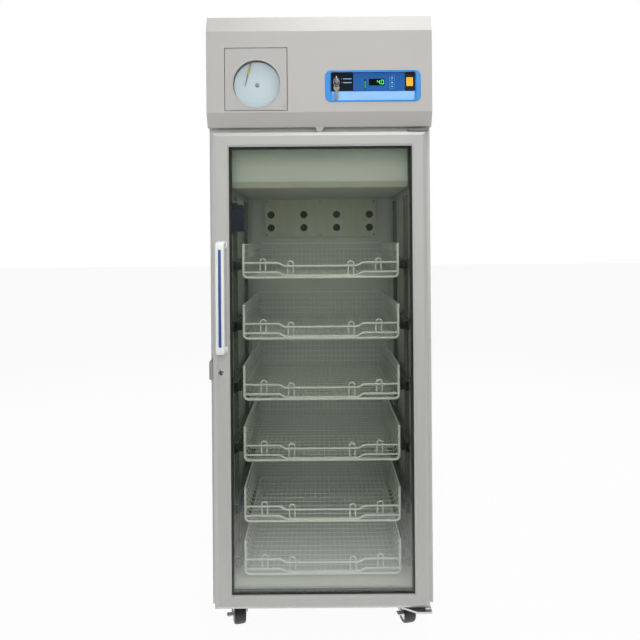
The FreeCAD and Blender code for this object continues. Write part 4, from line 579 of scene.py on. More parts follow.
@dataclass(frozen=True)
class ChartPaper(Finish):
    """Printed paper disc: fine rings and curved time lines on a pale ground."""

    centre: tuple[float, float, float] = (-0.197, -0.386, 1.778)
    ring_pitch: float = 0.0052
    ring_width: float = 0.11
    spokes: int = 24
    spoke_width: float = 0.05
    spoke_bow: float = 6.0
    ink_share: float = 0.32
    ink: Color = srgb(120, 150, 165)

    def tint(self, shader: Shader) -> Any:
        """Ground colour with a line wherever the distance or the bearing passes a step."""
        base = super().tint(shader)
        place = shader.place(centre=self.centre)
        parts = shader.add("ShaderNodeSeparateXYZ", {"Vector": place}).outputs
        squares = [shader.math("MULTIPLY", parts[name], parts[name]) for name in ("X", "Z")]
        distance = shader.math("SQRT", shader.math("ADD", *squares))
        ring = shader.math("FRACT", shader.math("DIVIDE", distance, self.ring_pitch))
        bearing = shader.math("ARCTAN2", parts["Z"], parts["X"])
        bowed = shader.math("ADD", bearing, shader.math("MULTIPLY", distance, self.spoke_bow))
        spoke = shader.math("FRACT", shader.math("MULTIPLY", bowed, self.spokes / (2.0 * math.pi)))
        steps = ((ring, self.ring_width), (spoke, self.spoke_width))
        lines = shader.math("MAXIMUM", *(shader.math("LESS_THAN", *step) for step in steps))
        return shader.mixed(shader.math("MULTIPLY", lines, self.ink_share), base, self.ink)


@dataclass(frozen=True)
class Pane(Finish):
    """Clear sheet: what is behind shows through a faint tint, under a mirror's share at the surface."""

    tint_color: Color = (0.93, 0.95, 0.93)
    haze: float = 0.02
    haze_spread: float = 0.4
    head_on: float = 0.034

    def surface(self, shader: Shader) -> Any:
        """A transparent shader, a little haze in clouds, and gloss that grows towards grazing.

        Schlick's share is used because the sheet's rear face is seen from inside, where the
        Fresnel node turns to a full mirror at a slant.
        """
        clear = shader.add("ShaderNodeBsdfTransparent", {"Color": (*self.tint_color, 1.0)})
        dust = shader.add("ShaderNodeBsdfDiffuse", {"Color": (*self.color, 1.0)})
        clouds = shader.noise(shader.place(), self.cloud_scale, 4.0)
        least, most = self.haze * (1.0 - self.haze_spread), self.haze * (1.0 + self.haze_spread)
        body = shader.blend(shader.ranged(clouds, least, most), clear.outputs[0], dust.outputs[0])
        facing = shader.add("ShaderNodeLayerWeight", {"Blend": 0.5}).outputs["Facing"]
        slant = shader.math("MULTIPLY", shader.math("POWER", facing, 5.0), 1.0 - self.head_on)
        gloss = shader.white("ShaderNodeBsdfGlossy", Roughness=self.roughness)
        return shader.blend(shader.math("ADD", slant, self.head_on), body, gloss)


@dataclass(frozen=True)
class Glow(Finish):
    """Lit segment: a plain plastic that also gives light."""

    strength: float = 1.0

    def surface(self, shader: Shader) -> Any:
        """The opaque shader with emission of its own colour."""
        inputs = {
            "Base Color": self.tint(shader),
            "Roughness": self.roughness,
            "Normal": self.relief(shader),
            "Emission Color": (*self.color, 1.0),
            "Emission Strength": self.strength,
        }
        return shader.add("ShaderNodeBsdfPrincipled", inputs).outputs["BSDF"]


@dataclass(frozen=True)
class LitFloor(Finish):
    """Pale floor: plain in view, and a pool of light that fades in front where a mirror shows it."""

    backdrop: float = 0.95
    pool: float = 2.0
    near: float = -0.71
    far: float = -1.76
    fade: float = 1.4

    def surface(self, shader: Shader) -> Any:
        """The plain finish, whitened for the camera, and the fading pool for glossy rays."""
        inputs = {"Color": self.tint(shader), "Normal": self.relief(shader)}
        diffuse = shader.add("ShaderNodeBsdfDiffuse", inputs).outputs[0]
        white = shader.white("ShaderNodeEmission", Strength=1.0)
        paths = shader.add("ShaderNodeLightPath").outputs
        whitened = shader.math("MULTIPLY", paths["Is Camera Ray"], self.backdrop)
        seen = shader.blend(whitened, diffuse, white)
        along = shader.add("ShaderNodeSeparateXYZ", {"Vector": shader.place()}).outputs["Y"]
        share = shader.math("POWER", shader.ranged(along, 0.0, 1.0, self.far, self.near), self.fade)
        light = shader.white("ShaderNodeEmission", Strength=shader.math("MULTIPLY", share, self.pool))
        return shader.blend(paths["Is Glossy Ray"], seen, light)


class Finishes:
    """The refrigerator's finishes, named for what wears them."""

    CASE = Finish("case_paint", srgb(208, 208, 205), 0.42, gloss_spread=0.015, cloud=0.01, grain=0.08)
    COVER = Finish("cover_paint", srgb(186, 185, 182), 0.38, gloss_spread=0.012, cloud=0.008,
                   grain=0.12, grain_scale=1400.0)
    DOOR = Finish("door_paint", srgb(186, 186, 183), 0.34, gloss_spread=0.010, cloud=0.008, grain=0.06)
    LINER = Finish("liner_paint", srgb(206, 210, 203), 0.40, cloud=0.03, grain=0.15)
    HOUSING = Finish("housing_paint", srgb(206, 211, 200), 0.42, cloud=0.02)
    WIRE = Finish("wire_coating", srgb(230, 232, 226), 0.36, cloud=0.03, grain=0.10, grain_scale=600.0,
                  rounding=0.0)
    DUCT = Finish("duct_plastic", srgb(218, 220, 200), 0.50, rib_pitch=0.008, rib_relief=0.0011,
                  cloud=0.03)
    FOAM = Finish("insulating_foam", srgb(222, 208, 150), 0.85, cloud=0.10, cloud_scale=40.0,
                  grain=0.8, grain_scale=500.0)
    STEEL = Finish("zinc_plated_steel", srgb(168, 170, 172), 0.36, metallic=0.75, cloud=0.08,
                   cloud_scale=30.0, stretch=(1.0, 1.0, 14.0), grain=0.2)
    TRACK = Finish("track_steel", srgb(108, 112, 107), 0.42, metallic=0.2, cloud=0.08, cloud_scale=20.0)
    RUNNER = Finish("runner_steel", srgb(88, 92, 88), 0.36, metallic=0.8, cloud=0.10, cloud_scale=25.0)
    FINS = Finish("fin_aluminium", srgb(176, 178, 180), 0.40, metallic=1.0, cloud=0.08,
                  cloud_scale=25.0, rounding=0.0)
    COPPER = Finish("copper_tube", srgb(190, 118, 82), 0.34, metallic=1.0, cloud=0.12,
                    cloud_scale=60.0, rounding=0.0)
    STRIKE = Finish("strike_paint", srgb(150, 152, 148), 0.45, cloud=0.04)
    BLACK_STEEL = Finish("black_enamelled_steel", srgb(34, 35, 37), 0.40, cloud=0.15, cloud_scale=20.0,
                         grain=0.3)
    CHROME = Finish("chrome_plate", srgb(200, 200, 202), 0.20, metallic=0.8, cloud=0.03,
                    cloud_scale=80.0, grain=0.04, rounding=0.0004)
    KEY = Finish("nickel_key", srgb(196, 192, 180), 0.30, metallic=0.6, cloud=0.10, cloud_scale=120.0,
                 stretch=(1.0, 1.0, 6.0), grain=0.15, rounding=0.0004)
    WHITE = Finish("handle_plastic", srgb(236, 237, 236), 0.40, cloud=0.015, grain=0.2,
                   grain_scale=1600.0)
    RECORDER = Finish("recorder_plastic", srgb(184, 183, 180), 0.44, cloud=0.015, grain=0.25,
                      grain_scale=1500.0)
    BEIGE = Finish("diffuser_plastic", srgb(186, 184, 164), 0.48, cloud=0.04, grain=0.15)
    GREY = Finish("case_grey_plastic", srgb(150, 152, 154), 0.46, cloud=0.05, grain=0.2)
    DARK = Finish("charcoal_plastic", srgb(28, 29, 31), 0.44, cloud=0.15, grain=0.25,
                  grain_scale=1400.0)
    NAVY = Finish("switch_plate_plastic", srgb(16, 24, 34), 0.32, cloud=0.08, grain=0.2)
    PROBE = Finish("probe_plastic", srgb(14, 34, 62), 0.40, gloss_spread=0.02, cloud=0.04, grain=0.2)
    BORDER = Finish("panel_border_plastic", srgb(60, 146, 222), 0.36, cloud=0.03, grain=0.15, coat=0.2)
    MEMBRANE = Finish("keypad_membrane", srgb(0, 94, 172), 0.30, gloss_spread=0.02, cloud=0.01,
                      grain=0.3, grain_scale=2400.0, rounding=0.0)
    PRINT = Finish("pale_blue_ink", srgb(150, 205, 245), 0.45, cloud=0.04, rounding=0.0)
    DISPLAY = Finish("display_glass", srgb(10, 14, 14), 0.10, gloss_spread=0.02, cloud=0.1, grain=0.0,
                     coat=0.5)
    AMBER = Glow("amber_rocker", srgb(255, 172, 0), 0.30, cloud=0.03, strength=0.35)
    DIGIT = Glow("green_digit", srgb(70, 235, 90), 0.4, cloud=0.03, rounding=0.0, strength=1.4)
    LAMP = Glow("green_lamp", srgb(60, 170, 60), 0.4, cloud=0.03, rounding=0.0, strength=0.6)
    YELLOW = Finish("yellow_pen", srgb(222, 196, 30), 0.45, cloud=0.04)
    STRIPE = Finish("handle_stripe", srgb(58, 88, 150), 0.42, cloud=0.05, grain=0.2)
    RUBBER = Finish("black_rubber", srgb(30, 30, 31), 0.62, cloud=0.25, cloud_scale=35.0, grain=0.5,
                    grain_scale=700.0)
    TYRE = Finish("caster_tyre", srgb(13, 13, 14), 0.60, cloud=0.25, cloud_scale=50.0, grain=0.4,
                  grain_scale=900.0)
    GASKET = Finish("gasket_vinyl", srgb(72, 74, 74), 0.58, cloud=0.08, grain=0.25)
    BEAD = Finish("bead_vinyl", srgb(40, 44, 41), 0.5, cloud=0.1, grain=0.2)
    PAPER = ChartPaper("chart_paper", srgb(226, 240, 245), 0.75, cloud=0.03, grain=0.3,
                       grain_scale=2500.0, rounding=0.0)
    GLASS = Pane("door_pane", srgb(190, 198, 192), 0.015, tint_color=(0.98, 0.99, 0.975), haze=0.005)
    WINDOW = Pane("recorder_pane", srgb(220, 228, 232), 0.05, tint_color=(0.985, 0.992, 0.995),
                  haze=0.03)
    FLOOR = LitFloor("studio_floor", srgb(226, 226, 226), 0.75, cloud=0.01, cloud_scale=0.7, grain=0.1,
                     rounding=0.0)


NODE_FINISHES: tuple[tuple[Finish, tuple[str, ...]], ...] = (
    (Finishes.CASE, ("outer_case", "head_frame", "rear_grille")),
    (Finishes.FOAM, ("insulation",)),
    (Finishes.LINER, ("inner_liner",)),
    (Finishes.RUBBER, ("rear_bumpers",)),
    (Finishes.DARK, ("power_inlet",)),
    (Finishes.HOUSING, ("evaporator_housing",)),
    (Finishes.BEIGE, ("light_diffuser",)),
    (Finishes.DUCT, ("duct_panel",)),
    (Finishes.PROBE, ("probe_bottle",)),
    (Finishes.TRACK, ("drawer_tracks",)),
    (Finishes.STRIKE, ("lock_strike",)),
    (Finishes.STEEL, ("hinge_brackets", "caster_mounts")),
    (Finishes.STEEL, ("caster_brake_front_left", "caster_brake_front_right")),
    (Finishes.STEEL, tuple(f"caster_fork_{place}" for place in CASTER_PLACES)),
    (Finishes.COVER, ("head_cover",)),
    (Finishes.GREY, ("recorder_case",)),
    (Finishes.RECORDER, ("recorder_door",)),
    (Finishes.WINDOW, ("recorder_window",)),
    (Finishes.PAPER, ("chart_disc",)),
    (Finishes.BORDER, ("control_bezel",)),
    (Finishes.MEMBRANE, ("keypad", "button_up", "button_mute", "button_down")),
    (Finishes.DISPLAY, ("display_window",)),
    (Finishes.AMBER, ("power_rocker",)),
    (Finishes.CHROME, ("key_switch", "lock_plug")),
    (Finishes.DOOR, ("door_frame",)),
    (Finishes.GLASS, ("door_glass",)),
    (Finishes.BEAD, ("glazing_bead",)),
    (Finishes.GASKET, ("door_gasket",)),
    (Finishes.WHITE, ("door_handle",)),
    (Finishes.STRIPE, ("handle_insert",)),
)


def dress_nodes() -> None:
    """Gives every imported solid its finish."""
    for finish, names in NODE_FINISHES:
        for slot in (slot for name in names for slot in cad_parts[name].material_slots):
            slot.material = finish.material()


@dataclass
class Piece:
    """One named piece of the scene and what it belongs to."""

    name: str
    surface: Surface
    finish: Finish
    body: str
    slot: str
    replaces: tuple[str, ...] = ()
    crease: float = 35.0
    bevel: float = 0.0

    def build(self) -> None:
        """Makes the mesh in metres, turns its faces outwards and ties it to its body."""
        mesh = bpy.data.meshes.new(self.name)
        faces = [face for group in self.surface.faces for face in group.tolist()]
        mesh.from_pydata((self.surface.points * METRES_PER_MM).tolist(), [], faces)
        work = bmesh.new()
        work.from_mesh(mesh)
        bmesh.ops.recalc_face_normals(work, faces=work.faces)
        work.to_mesh(mesh)
        work.free()
        mesh.shade_smooth()
        mesh.set_sharp_from_angle(angle=math.radians(self.crease))
        mesh.materials.append(self.finish.material())
        made = bpy.data.objects.new(self.name, mesh)
        bpy.context.scene.collection.objects.link(made)
        if self.bevel:
            edge = made.modifiers.new("rounded_edges", "BEVEL")
            edge.width = self.bevel * METRES_PER_MM
            edge.segments = 2
            edge.limit_method = "ANGLE"
            edge.angle_limit = BEVEL_LIMIT
        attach(made, self.body)
        if self.replaces:
            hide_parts(*self.replaces)
        log.info("%s: %d faces on %s", self.name, len(faces), self.body)


def build_all(*pieces: Piece) -> None:
    """Builds pieces in order."""
    for piece in pieces:
        piece.build()


# Wire drawers


@dataclass
class WireDrawers:
    """Six wire baskets on telescopic runners."""

    front: float = -293.0
    levels: tuple[float, ...] = (1157.2, 954.4, 751.6, 548.8, 346.0, 170.0)
    half: float = 261.35
    depth: float = 570.0
    height: float = 117.0
    post: float = 4.1
    rail: float = 3.4
    rail_levels: tuple[float, float] = (21.6, 53.0)
    step: tuple[float, float, float] = (121.0, 141.0, 11.0)
    loop: float = 2.7
    loop_half: float = 9.25
    loops: tuple[tuple[float, float, float], ...] = (
        (-193.0, 21.6, 68.5),
        (-101.0, 10.6, 60.0),
        (101.0, 10.6, 60.0),
        (193.0, 21.6, 68.5),
    )
    floor_wires: int = 30
    floor_pitch: float = 17.6
    cross_wires: int = 16
    side_rows: tuple[float, ...] = (27.0, 48.0, 69.0, 90.0)
    floor_level: float = 7.0
    floor_wire: float = 0.9
    cross_level: float = 2.5
    cross_wire: float = 1.25
    side_wire: float = 1.4
    rim_level: float = 114.4
    rim_wire: float = 2.5
    fold: float = 12.0
    rise: float = 44.0
    rolled: float = 15.7
    pilaster: float = 293.0
    channel: float = 279.0

    def front_frame(self) -> Surface:
        """The thick bent wire at the front with a ball on each end, and the two stepped rails."""
        side, top, y = self.half - self.post, self.height - self.post, self.front + self.post
        corners = [(-side, y, top), (-side, y, self.post), (side, y, self.post), (side, y, top)]
        parts = [wire(bent(corners, 14.0), self.post, (0, 1, 0), 14)]
        parts += [ball((x, y, top), self.post * 1.25) for x in (-side, side)]
        near, far, drop = self.step
        shifts = ((-side, 0.0), (-far, 0.0), (-near, drop), (near, drop), (far, 0.0), (side, 0.0))
        for level in self.rail_levels:
            line = [(x, y, level - down) for x, down in shifts]
            parts.append(wire(bent(line, 9.0, 4), self.rail, (0, 1, 0), 12))
        return joined(parts)

    def label_loops(self) -> Surface:
        """Upside-down U wires behind the rails."""
        y = self.front + self.post + self.rail + self.loop
        parts = []
        for middle, foot, top in self.loops:
            left, right, crown = middle - self.loop_half, middle + self.loop_half, top - self.loop
            corners = [(left, y, foot), (left, y, crown), (right, y, crown), (right, y, foot)]
            parts.append(wire(bent(corners, self.loop_half * 0.98, 8), self.loop, (0, 1, 0), 10))
        return joined(parts)

    def mesh_body(self) -> Surface:
        """Floor wires folded up at the back, cross wires folded up at the sides, rows and rim."""
        back = self.front + self.depth - 2.0
        near = self.front + self.post
        low = self.floor_level
        corners = [(0, near, low), (0, back, low), (0, back, self.height - 4.0)]
        run = wire(bent(corners, self.fold, 4), self.floor_wire, (1, 0, 0), 8)
        across = (np.arange(self.floor_wires) - (self.floor_wires - 1) / 2.0) * self.floor_pitch
        floor = run.repeated(across[:, None] * np.array([1.0, 0.0, 0.0]))
        wall, top, low = self.half - 2.2, self.height - 5.0, self.cross_level
        corners = [(-wall, 0, top), (-wall, 0, low), (wall, 0, low), (wall, 0, top)]
        loop = wire(bent(corners, self.fold, 4), self.cross_wire, (0, 1, 0), 8)
        along = np.linspace(self.front + 30.0, self.front + self.depth - 22.0, self.cross_wires)
        cross = loop.repeated(along[:, None] * np.array([0.0, 1.0, 0.0]))
        sizes = [(self.half - 6.0, back - 3.8, level, 5, self.side_wire, 8) for level in self.side_rows]
        sizes.append((self.half - 2.7, back, self.rim_level, 6, self.rim_wire, 10))
        rows = []
        for side, rear, level, steps, radius, sides in sizes:
            line = [(-side, near), (-side, rear), (side, rear), (side, near)]
            path = bent([(x, y, level) for x, y in line], 10.0, steps)
            rows.append(wire(path, radius, (0, 0, 1), sides))
        return joined([floor, cross, *rows])

    def runners(self) -> Surface:
        """A rolled channel on each side with its arm, three rollers, rivets and a front catch."""
        web, inside, outside = 2.0, self.channel, self.pilaster - 1.8
        low, high = self.rise - self.rolled, self.rise + self.rolled
        lower = [(inside, low), (outside, low), (outside, low + web), (inside + web, low + web)]
        upper = [(inside + web, high - web), (outside, high - web), (outside, high), (inside, high)]
        end = self.front + self.depth
        arm = around(self.rise, 4.0)
        parts = [
            extruded(lower + upper, self.front + 1.0, end - 1.0),
            block((self.half - 0.5, inside + 0.5), (self.front + 8.0, end - 8.0), arm),
        ]
        roller = [(2.0, 0.0), (10.5, 0.0), (11.6, 1.0), (11.6, 6.4), (10.5, 7.4), (2.0, 7.4)]
        for y in (self.front + 34.0, self.front + 260.0, end - 34.0):
            parts.append(lathe(roller, (inside + web + 0.2, y, self.rise), Axis.X, 24))
            parts.append(screw_head(4.0, Axis.X, -1.0, (inside + 0.2, y, self.rise)))
        catch = prism(round_rectangle(16.0, 26.0, 3.0), Axis.X, self.half + 3.0, inside - 1.0, 1.0)
        parts.append(catch.moved(y=self.front + 16.0, z=self.rise))
        clip = np.array([(0, 10.0, 10.0), (0, 26.0, 26.0), (0, 60.0, 26.0)])
        clip += np.array([self.half + 4.0, self.front, self.rise])
        parts.append(wire(bent(clip, 6.0), 1.6, (1, 0, 0), 8))
        right = joined(parts)
        left = Surface(right.points * np.array([-1.0, 1.0, 1.0]), right.faces)
        return right + left

    def build(self) -> None:
        """Makes each drawer's wires and runners at its own level."""
        wires = joined([self.front_frame(), self.label_loops(), self.mesh_body()])
        runners = self.runners()
        for number, level in enumerate(self.levels, start=1):
            name = f"drawer_{number}"
            raised, slides = wires.moved(z=level), runners.moved(z=level)
            build_all(
                Piece(f"{name}_wires", raised, Finishes.WIRE, name, "wire_enamel", (name,), 50.0),
                Piece(f"{name}_runners", slides, Finishes.RUNNER, name, "steel", (name,)),
            )


# Cabinet inside


@dataclass
class CabinetInside:
    """Details of the liner, uprights, air duct, evaporator housing and probe."""

    half: float = 305.0
    floor: float = 160.0
    ceiling: float = 1459.0
    rear: float = 371.0
    cove: float = 11.0
    pilaster: float = 293.0
    pilaster_rows: tuple[float, float] = (-173.0, 157.0)
    slots: tuple[float, float] = (182.0, 1430.0)
    slot_pitch: float = 25.0
    duct_face: float = 341.0
    duct_columns: tuple[float, ...] = (-211.5, -70.5, 70.5, 211.5)
    duct_rows: tuple[float, float] = (1338.5, 1394.5)
    duct_screw_columns: tuple[float, ...] = (-230.0, 0.0, 230.0)
    duct_screw_rows: tuple[float, float] = (1308.0, 1450.0)
    hole: float = 13.5
    housing_front: float = -293.0
    housing_half: float = 292.0
    housing_lip: float = 1481.0
    probe: tuple[float, float] = (-282.0, -212.0)
    bracket: tuple[float, float] = (-235.0, -187.0)
    bracket_level: float = 1418.5

    def pilaster_slots(self) -> Surface:
        """Painted shade: a dark patch at each slot in the uprights' inner faces, at the standard pitch.
        """
        slot = prism(round_rectangle(7.0, 13.0, 3.0, 4), Axis.X, -0.25, 0.9)
        levels = np.arange(*self.slots, self.slot_pitch).tolist()
        sides = (-self.pilaster, self.pilaster)
        return slot.repeated([(x, y, z) for x in sides for y in self.pilaster_rows for z in levels])

    def duct_nozzles(self) -> Surface:
        """Dark rim round each round hole, and painted shade: a dark throat closed behind in place of
        the shade inside the duct.
        """
        steps = ((2.2, -0.4), (2.0, -1.4), (-0.4, -1.4), (-0.9, 0.5), (-0.9, 12.0))
        profile = [*((self.hole + wider, y) for wider, y in steps), (0.5, 12.5)]
        throat = lathe(profile, (0, 0, 0), Axis.Y, 28)
        places = [(x, self.duct_face, z) for x in self.duct_columns for z in self.duct_rows]
        return throat.repeated(places)

    def duct_screws(self) -> Surface:
        """Screws that hold the duct panel to the rear wall."""
        return screws(4.2, -1.0, self.duct_screw_columns, self.duct_face, self.duct_screw_rows)

    def housing_trim(self) -> Surface:
        """Folded lip along the evaporator housing's front edge."""
        half, y = self.housing_half, self.housing_front + 1.0
        path = [(-half, y, self.housing_lip), (half, y, self.housing_lip)]
        return swept(np.array(path), round_rectangle(4.0, 4.0, 1.9, 4), (0, 1, 0))

    def probe_cap(self) -> Surface:
        """Cap of the probe's bottle."""
        cap = [(16.5, 1393.0), (17.5, 1394.0), (17.5, 1404.0), (15.5, 1407.0), (4.0, 1407.5)]
        return lathe(cap, (*self.probe, 0.0), Axis.Z, 28)

    def probe_bracket(self) -> Surface:
        """Pale folded bracket that carries the bottle on the left wall."""
        level, edge = self.bracket_level, -266.0
        plate = prism(round_rectangle(50.0, 26.0, 3.0), Axis.X, -self.half, -self.half + 1.6)
        hook = block((-self.half + 1.4, edge), self.bracket, (level - 2.0, level))
        lip = block((edge - 1.6, edge), self.bracket, (level - 9.0, level - 0.1))
        return joined([plate.moved(y=sum(self.bracket) / 2.0, z=level + 9.5), hook, lip])

    def coves(self) -> Surface:
        """Rounded seal beads where the liner's walls meet: in the rear corners and along the floor."""
        turn = np.linspace(0.0, math.pi / 2.0, 7)
        arc = self.cove * (1.0 - np.stack([np.sin(turn), np.cos(turn)], axis=-1))
        across, up = np.concatenate([[[0.0, 0.0]], arc[::-1]]).T
        beads = []
        for sign in (-1.0, 1.0):
            corner = np.stack([sign * (self.half - across), self.rear - up], axis=-1)
            beads.append(prism(corner, Axis.Z, self.floor, self.ceiling))
        low = np.stack([self.rear - across, self.floor + up], axis=-1)
        beads.append(prism(low, Axis.X, -self.half, self.half))
        return joined(beads)

    def build(self) -> None:
        """Makes every inside detail on the cabinet."""
        pieces = (
            # painted shade: dark patches in the uprights' slots
            ("pilaster_slots", self.pilaster_slots(), Finishes.BEAD, "dark_steel"),
            # dark rims round the duct holes, and painted shade: dark throats closed behind
            ("duct_nozzles", self.duct_nozzles(), Finishes.BEAD, "dark_plastic"),
            ("duct_screws", self.duct_screws(), Finishes.STEEL, "steel"),
            ("housing_trim", self.housing_trim(), Finishes.HOUSING, "liner_enamel"),
            ("probe_cap", self.probe_cap(), Finishes.DARK, "dark_plastic"),
            ("probe_bracket", self.probe_bracket(), Finishes.HOUSING, "liner_enamel"),
            ("liner_coves", self.coves(), Finishes.LINER, "liner_enamel"),
        )
        for name, surface, finish, slot in pieces:
            Piece(name, surface, finish, "cabinet", slot).build()


# Door


@dataclass
class Door:
    """Handle, stripe, lock ring, painted shade in the key slot and corner joints of the door."""

    handle_x: float = -310.5
    bottom: float = 932.0
    top: float = 1282.0
    face: float = -408.0
    front: float = -458.0
    width: float = 28.0
    bar: float = 14.4
    stripe_bottom: float = 956.0
    stripe_top: float = 1258.0
    lock: tuple[float, float] = (-317.0, 869.0)
    outer: tuple[float, float, float, float] = (-342.0, 337.0, 122.0, 1626.0)
    glass: tuple[float, float, float, float] = (-288.0, 291.0, 164.0, 1581.0)
    mitre: tuple[float, float] = (0.27, 0.86)

    def ends(self, inset: float = 0.0) -> tuple[float, float]:
        """Levels of the bar's two feet, drawn in towards each other."""
        return self.bottom + self.bar / 2.0 + inset, self.top - self.bar / 2.0 - inset

    def handle(self) -> Surface:
        """A rounded bar bent back to the door at both ends: one section along an arched path."""
        middle, foot = self.front + 0.6 + self.bar / 2.0, self.face + 0.5
        (low, high), x = self.ends(), self.handle_x
        corners = [(x, foot, low), (x, middle, low), (x, middle, high), (x, foot, high)]
        return swept(bent(corners, 9.5, 8), round_rectangle(self.width, self.bar, 5.0, 5), (1, 0, 0))

    def feet(self) -> Surface:
        """Collar round each end of the bar where it meets the door."""
        collar = prism(round_rectangle(22.0, 34.0, 7.0), Axis.Y, self.face - 3.0, self.face + 0.2, 1.2)
        return joined([collar.moved(x=self.handle_x, z=level) for level in self.ends(3.0)])

    def stripe(self) -> Surface:
        """Crowned strip let into the bar's front."""
        length = self.stripe_top - self.stripe_bottom
        outline = round_rectangle(length, 9.0, 4.4, 8)
        strip = prism(outline, Axis.Y, self.front + 0.05, self.front + 2.4, 0.5)
        return strip.moved(x=self.handle_x, z=(self.stripe_top + self.stripe_bottom) / 2.0)

    def lock_face(self) -> Surface:
        """Ring round the lock's plug."""
        profile = [(6.6, 0.5), (6.6, -1.3), (7.2, -1.8), (8.6, -1.6), (9.4, -0.8), (9.4, 0.5)]
        return ring_lathe(profile, (self.lock[0], self.face, self.lock[1]), Axis.Y, 36)

    def keyway_shade(self) -> Surface:
        """Painted shade: a dark block in the plug where the key slot's shade falls."""
        x, z = self.lock
        return block(around(x, 1.7), (self.face - 1.35, self.face + 1.0), around(z, 8.0))

    def joints(self) -> Surface:
        """Hairline along each mitre, from the outer corner towards the glass opening."""
        lines = []
        for right, high in ((0, 0), (1, 0), (1, 1), (0, 1)):
            pick = [right, 2 + high]
            far, near = np.array(self.outer)[pick], np.array(self.glass)[pick]
            x, z = (far + (near - far) * np.array(self.mitre)[:, None]).T
            path = np.stack([x, np.full(2, self.face + 0.05), z], axis=-1)
            lines.append(wire(path, 0.22, (0, 1, 0), 6))
        return joined(lines)

    def build(self) -> None:
        """Makes the door's details."""
        build_all(
            Piece(
                "handle_bar", self.handle(), Finishes.WHITE, "door", "white_plastic",
                ("door_handle",), 60.0
            ),
            Piece(
                "handle_feet", self.feet(), Finishes.WHITE, "door", "white_plastic", ("door_handle",)
            ),
            Piece(
                "handle_stripe", self.stripe(), Finishes.STRIPE, "door", "blue_plastic",
                ("handle_insert",)
            ),
            Piece("lock_ring", self.lock_face(), Finishes.CHROME, "door", "chrome"),
            # painted shade in the key slot
            Piece("lock_keyway", self.keyway_shade(), Finishes.BEAD, "lock", "dark_plastic"),
            Piece("door_mitre_lines", self.joints(), Finishes.GREY, "door", "grey_plastic"),
        )


# Head cover


@dataclass
class Recorder:
    """Chart recorder: ring round the window, rim and catch of its door, nut, pen and cartridge."""

    window: tuple[float, float] = (-197.0, 1778.0)
    face: float = -408.0
    radius: float = 74.5
    chart_face: float = -386.0
    pivot: tuple[float, float] = (-213.0, 1862.0)
    tip: tuple[float, float] = (-235.0, 1774.0)
    pen_face: float = -392.5
    door_middle: tuple[float, float] = (-199.0, 1792.5)
    door_size: float = 194.0
    catch_place: tuple[float, float] = (-110.0, 1712.0)

    def window_ring(self) -> Surface:
        """Soft moulded step round the window."""
        r = self.radius
        steps = ((-0.4, 1.6), (-0.4, -0.4), (0.5, -1.1), (1.8, -1.1), (3.2, -0.2), (3.2, 0.6))
        profile = [(r + wider, y) for wider, y in steps]
        return ring_lathe(profile, (self.window[0], self.face, self.window[1]), Axis.Y, 96)

    def door_edge(self) -> Surface:
        """Rounded rim along the recorder door's outline."""
        (left, right), (low, high) = (around(middle, self.door_size) for middle in self.door_middle)
        places = ((left, low), (right, low), (right, high), (left, high))
        corners = [(x, self.face, z) for x, z in places]
        return wire(bent(corners, 3.0, 4, closed=True), 0.8, (0, 1, 0), 8, closed=True)

    def catch(self) -> Surface:
        """Push catch on the recorder door's free side."""
        pad = prism(round_rectangle(12.0, 8.0, 3.0), Axis.Y, self.face - 1.2, self.face + 0.2, 0.6)
        return pad.moved(x=self.catch_place[0], z=self.catch_place[1])

    def hub(self) -> Surface:
        """Stepped nut in the middle of the chart."""
        profile = [(7.0, 0.4), (7.0, -1.0), (5.5, -2.2), (4.2, -2.6), (4.0, -5.0), (2.2, -5.8)]
        return lathe(profile, (self.window[0], self.chart_face, self.window[1]), Axis.Y, 28)

    def pen(self) -> Surface:
        """Pressed arm that narrows from its post to the nib, with a raised rib."""
        start, stop = np.array(self.pivot), np.array(self.tip)
        along = (stop - start) / np.linalg.norm(stop - start)
        across = np.array([-along[1], along[0]])
        share = np.linspace(0.0, 1.0, 14)
        half = 4.2 - 2.9 * share**0.8
        spine = start + share[:, None] * (stop - start)
        shift = half[:, None] * across
        outline = np.concatenate([spine + shift, (spine - shift)[::-1]])
        plate = extruded(outline, self.pen_face - 0.5, self.pen_face + 0.4)
        seat = (start[0], self.pen_face, start[1])
        post = lathe([(5.0, -1.6), (5.0, 1.0), (2.6, 1.2), (2.6, 5.5)], seat, Axis.Y, 24)
        path = np.stack([spine[1:12, 0], np.full(11, self.pen_face - 0.7), spine[1:12, 1]], axis=-1)
        return joined([plate, post, wire(path, 0.7, (0, 1, 0), 8)])

    def pen_holder(self) -> Surface:
        """Yellow ink cartridge clipped to the arm's upper part."""
        start, stop = np.array(self.pivot), np.array(self.tip)
        x, z = (start + (stop - start) * np.array([[0.24], [0.30], [0.54], [0.59]])).T
        path = np.stack([x, np.full(4, self.pen_face - 2.6), z], axis=-1)
        return wire(path, 2.6, (0, 1, 0), 12)

    def build(self) -> None:
        """Makes the recorder's details on the bodies that carry them."""
        build_all(
            Piece(
                "recorder_ring", self.window_ring(), Finishes.RECORDER, "recorder_door", "white_plastic"
            ),
            Piece(
                "recorder_rim", self.door_edge(), Finishes.RECORDER, "recorder_door", "white_plastic"
            ),
            Piece("recorder_catch", self.catch(), Finishes.RECORDER, "recorder_door", "white_plastic"),
            Piece("chart_nut", self.hub(), Finishes.GREY, "chart", "grey_plastic"),
            Piece("pen_lever", self.pen(), Finishes.GREY, "pen", "grey_plastic", ("pen_arm",)),
            Piece("pen_cartridge", self.pen_holder(), Finishes.YELLOW, "pen", "amber_plastic"),
        )


class Segment(enum.IntFlag):
    """Lit bars of one seven-bar figure."""

    TOP = 1
    UPPER_RIGHT = 2
    LOWER_RIGHT = 4
    BOTTOM = 8
    LOWER_LEFT = 16
    UPPER_LEFT = 32
    MIDDLE = 64


FIGURES: dict[str, Segment] = {
    "4": Segment.UPPER_LEFT | Segment.MIDDLE | Segment.UPPER_RIGHT | Segment.LOWER_RIGHT,
    "0": ~Segment.MIDDLE,
}

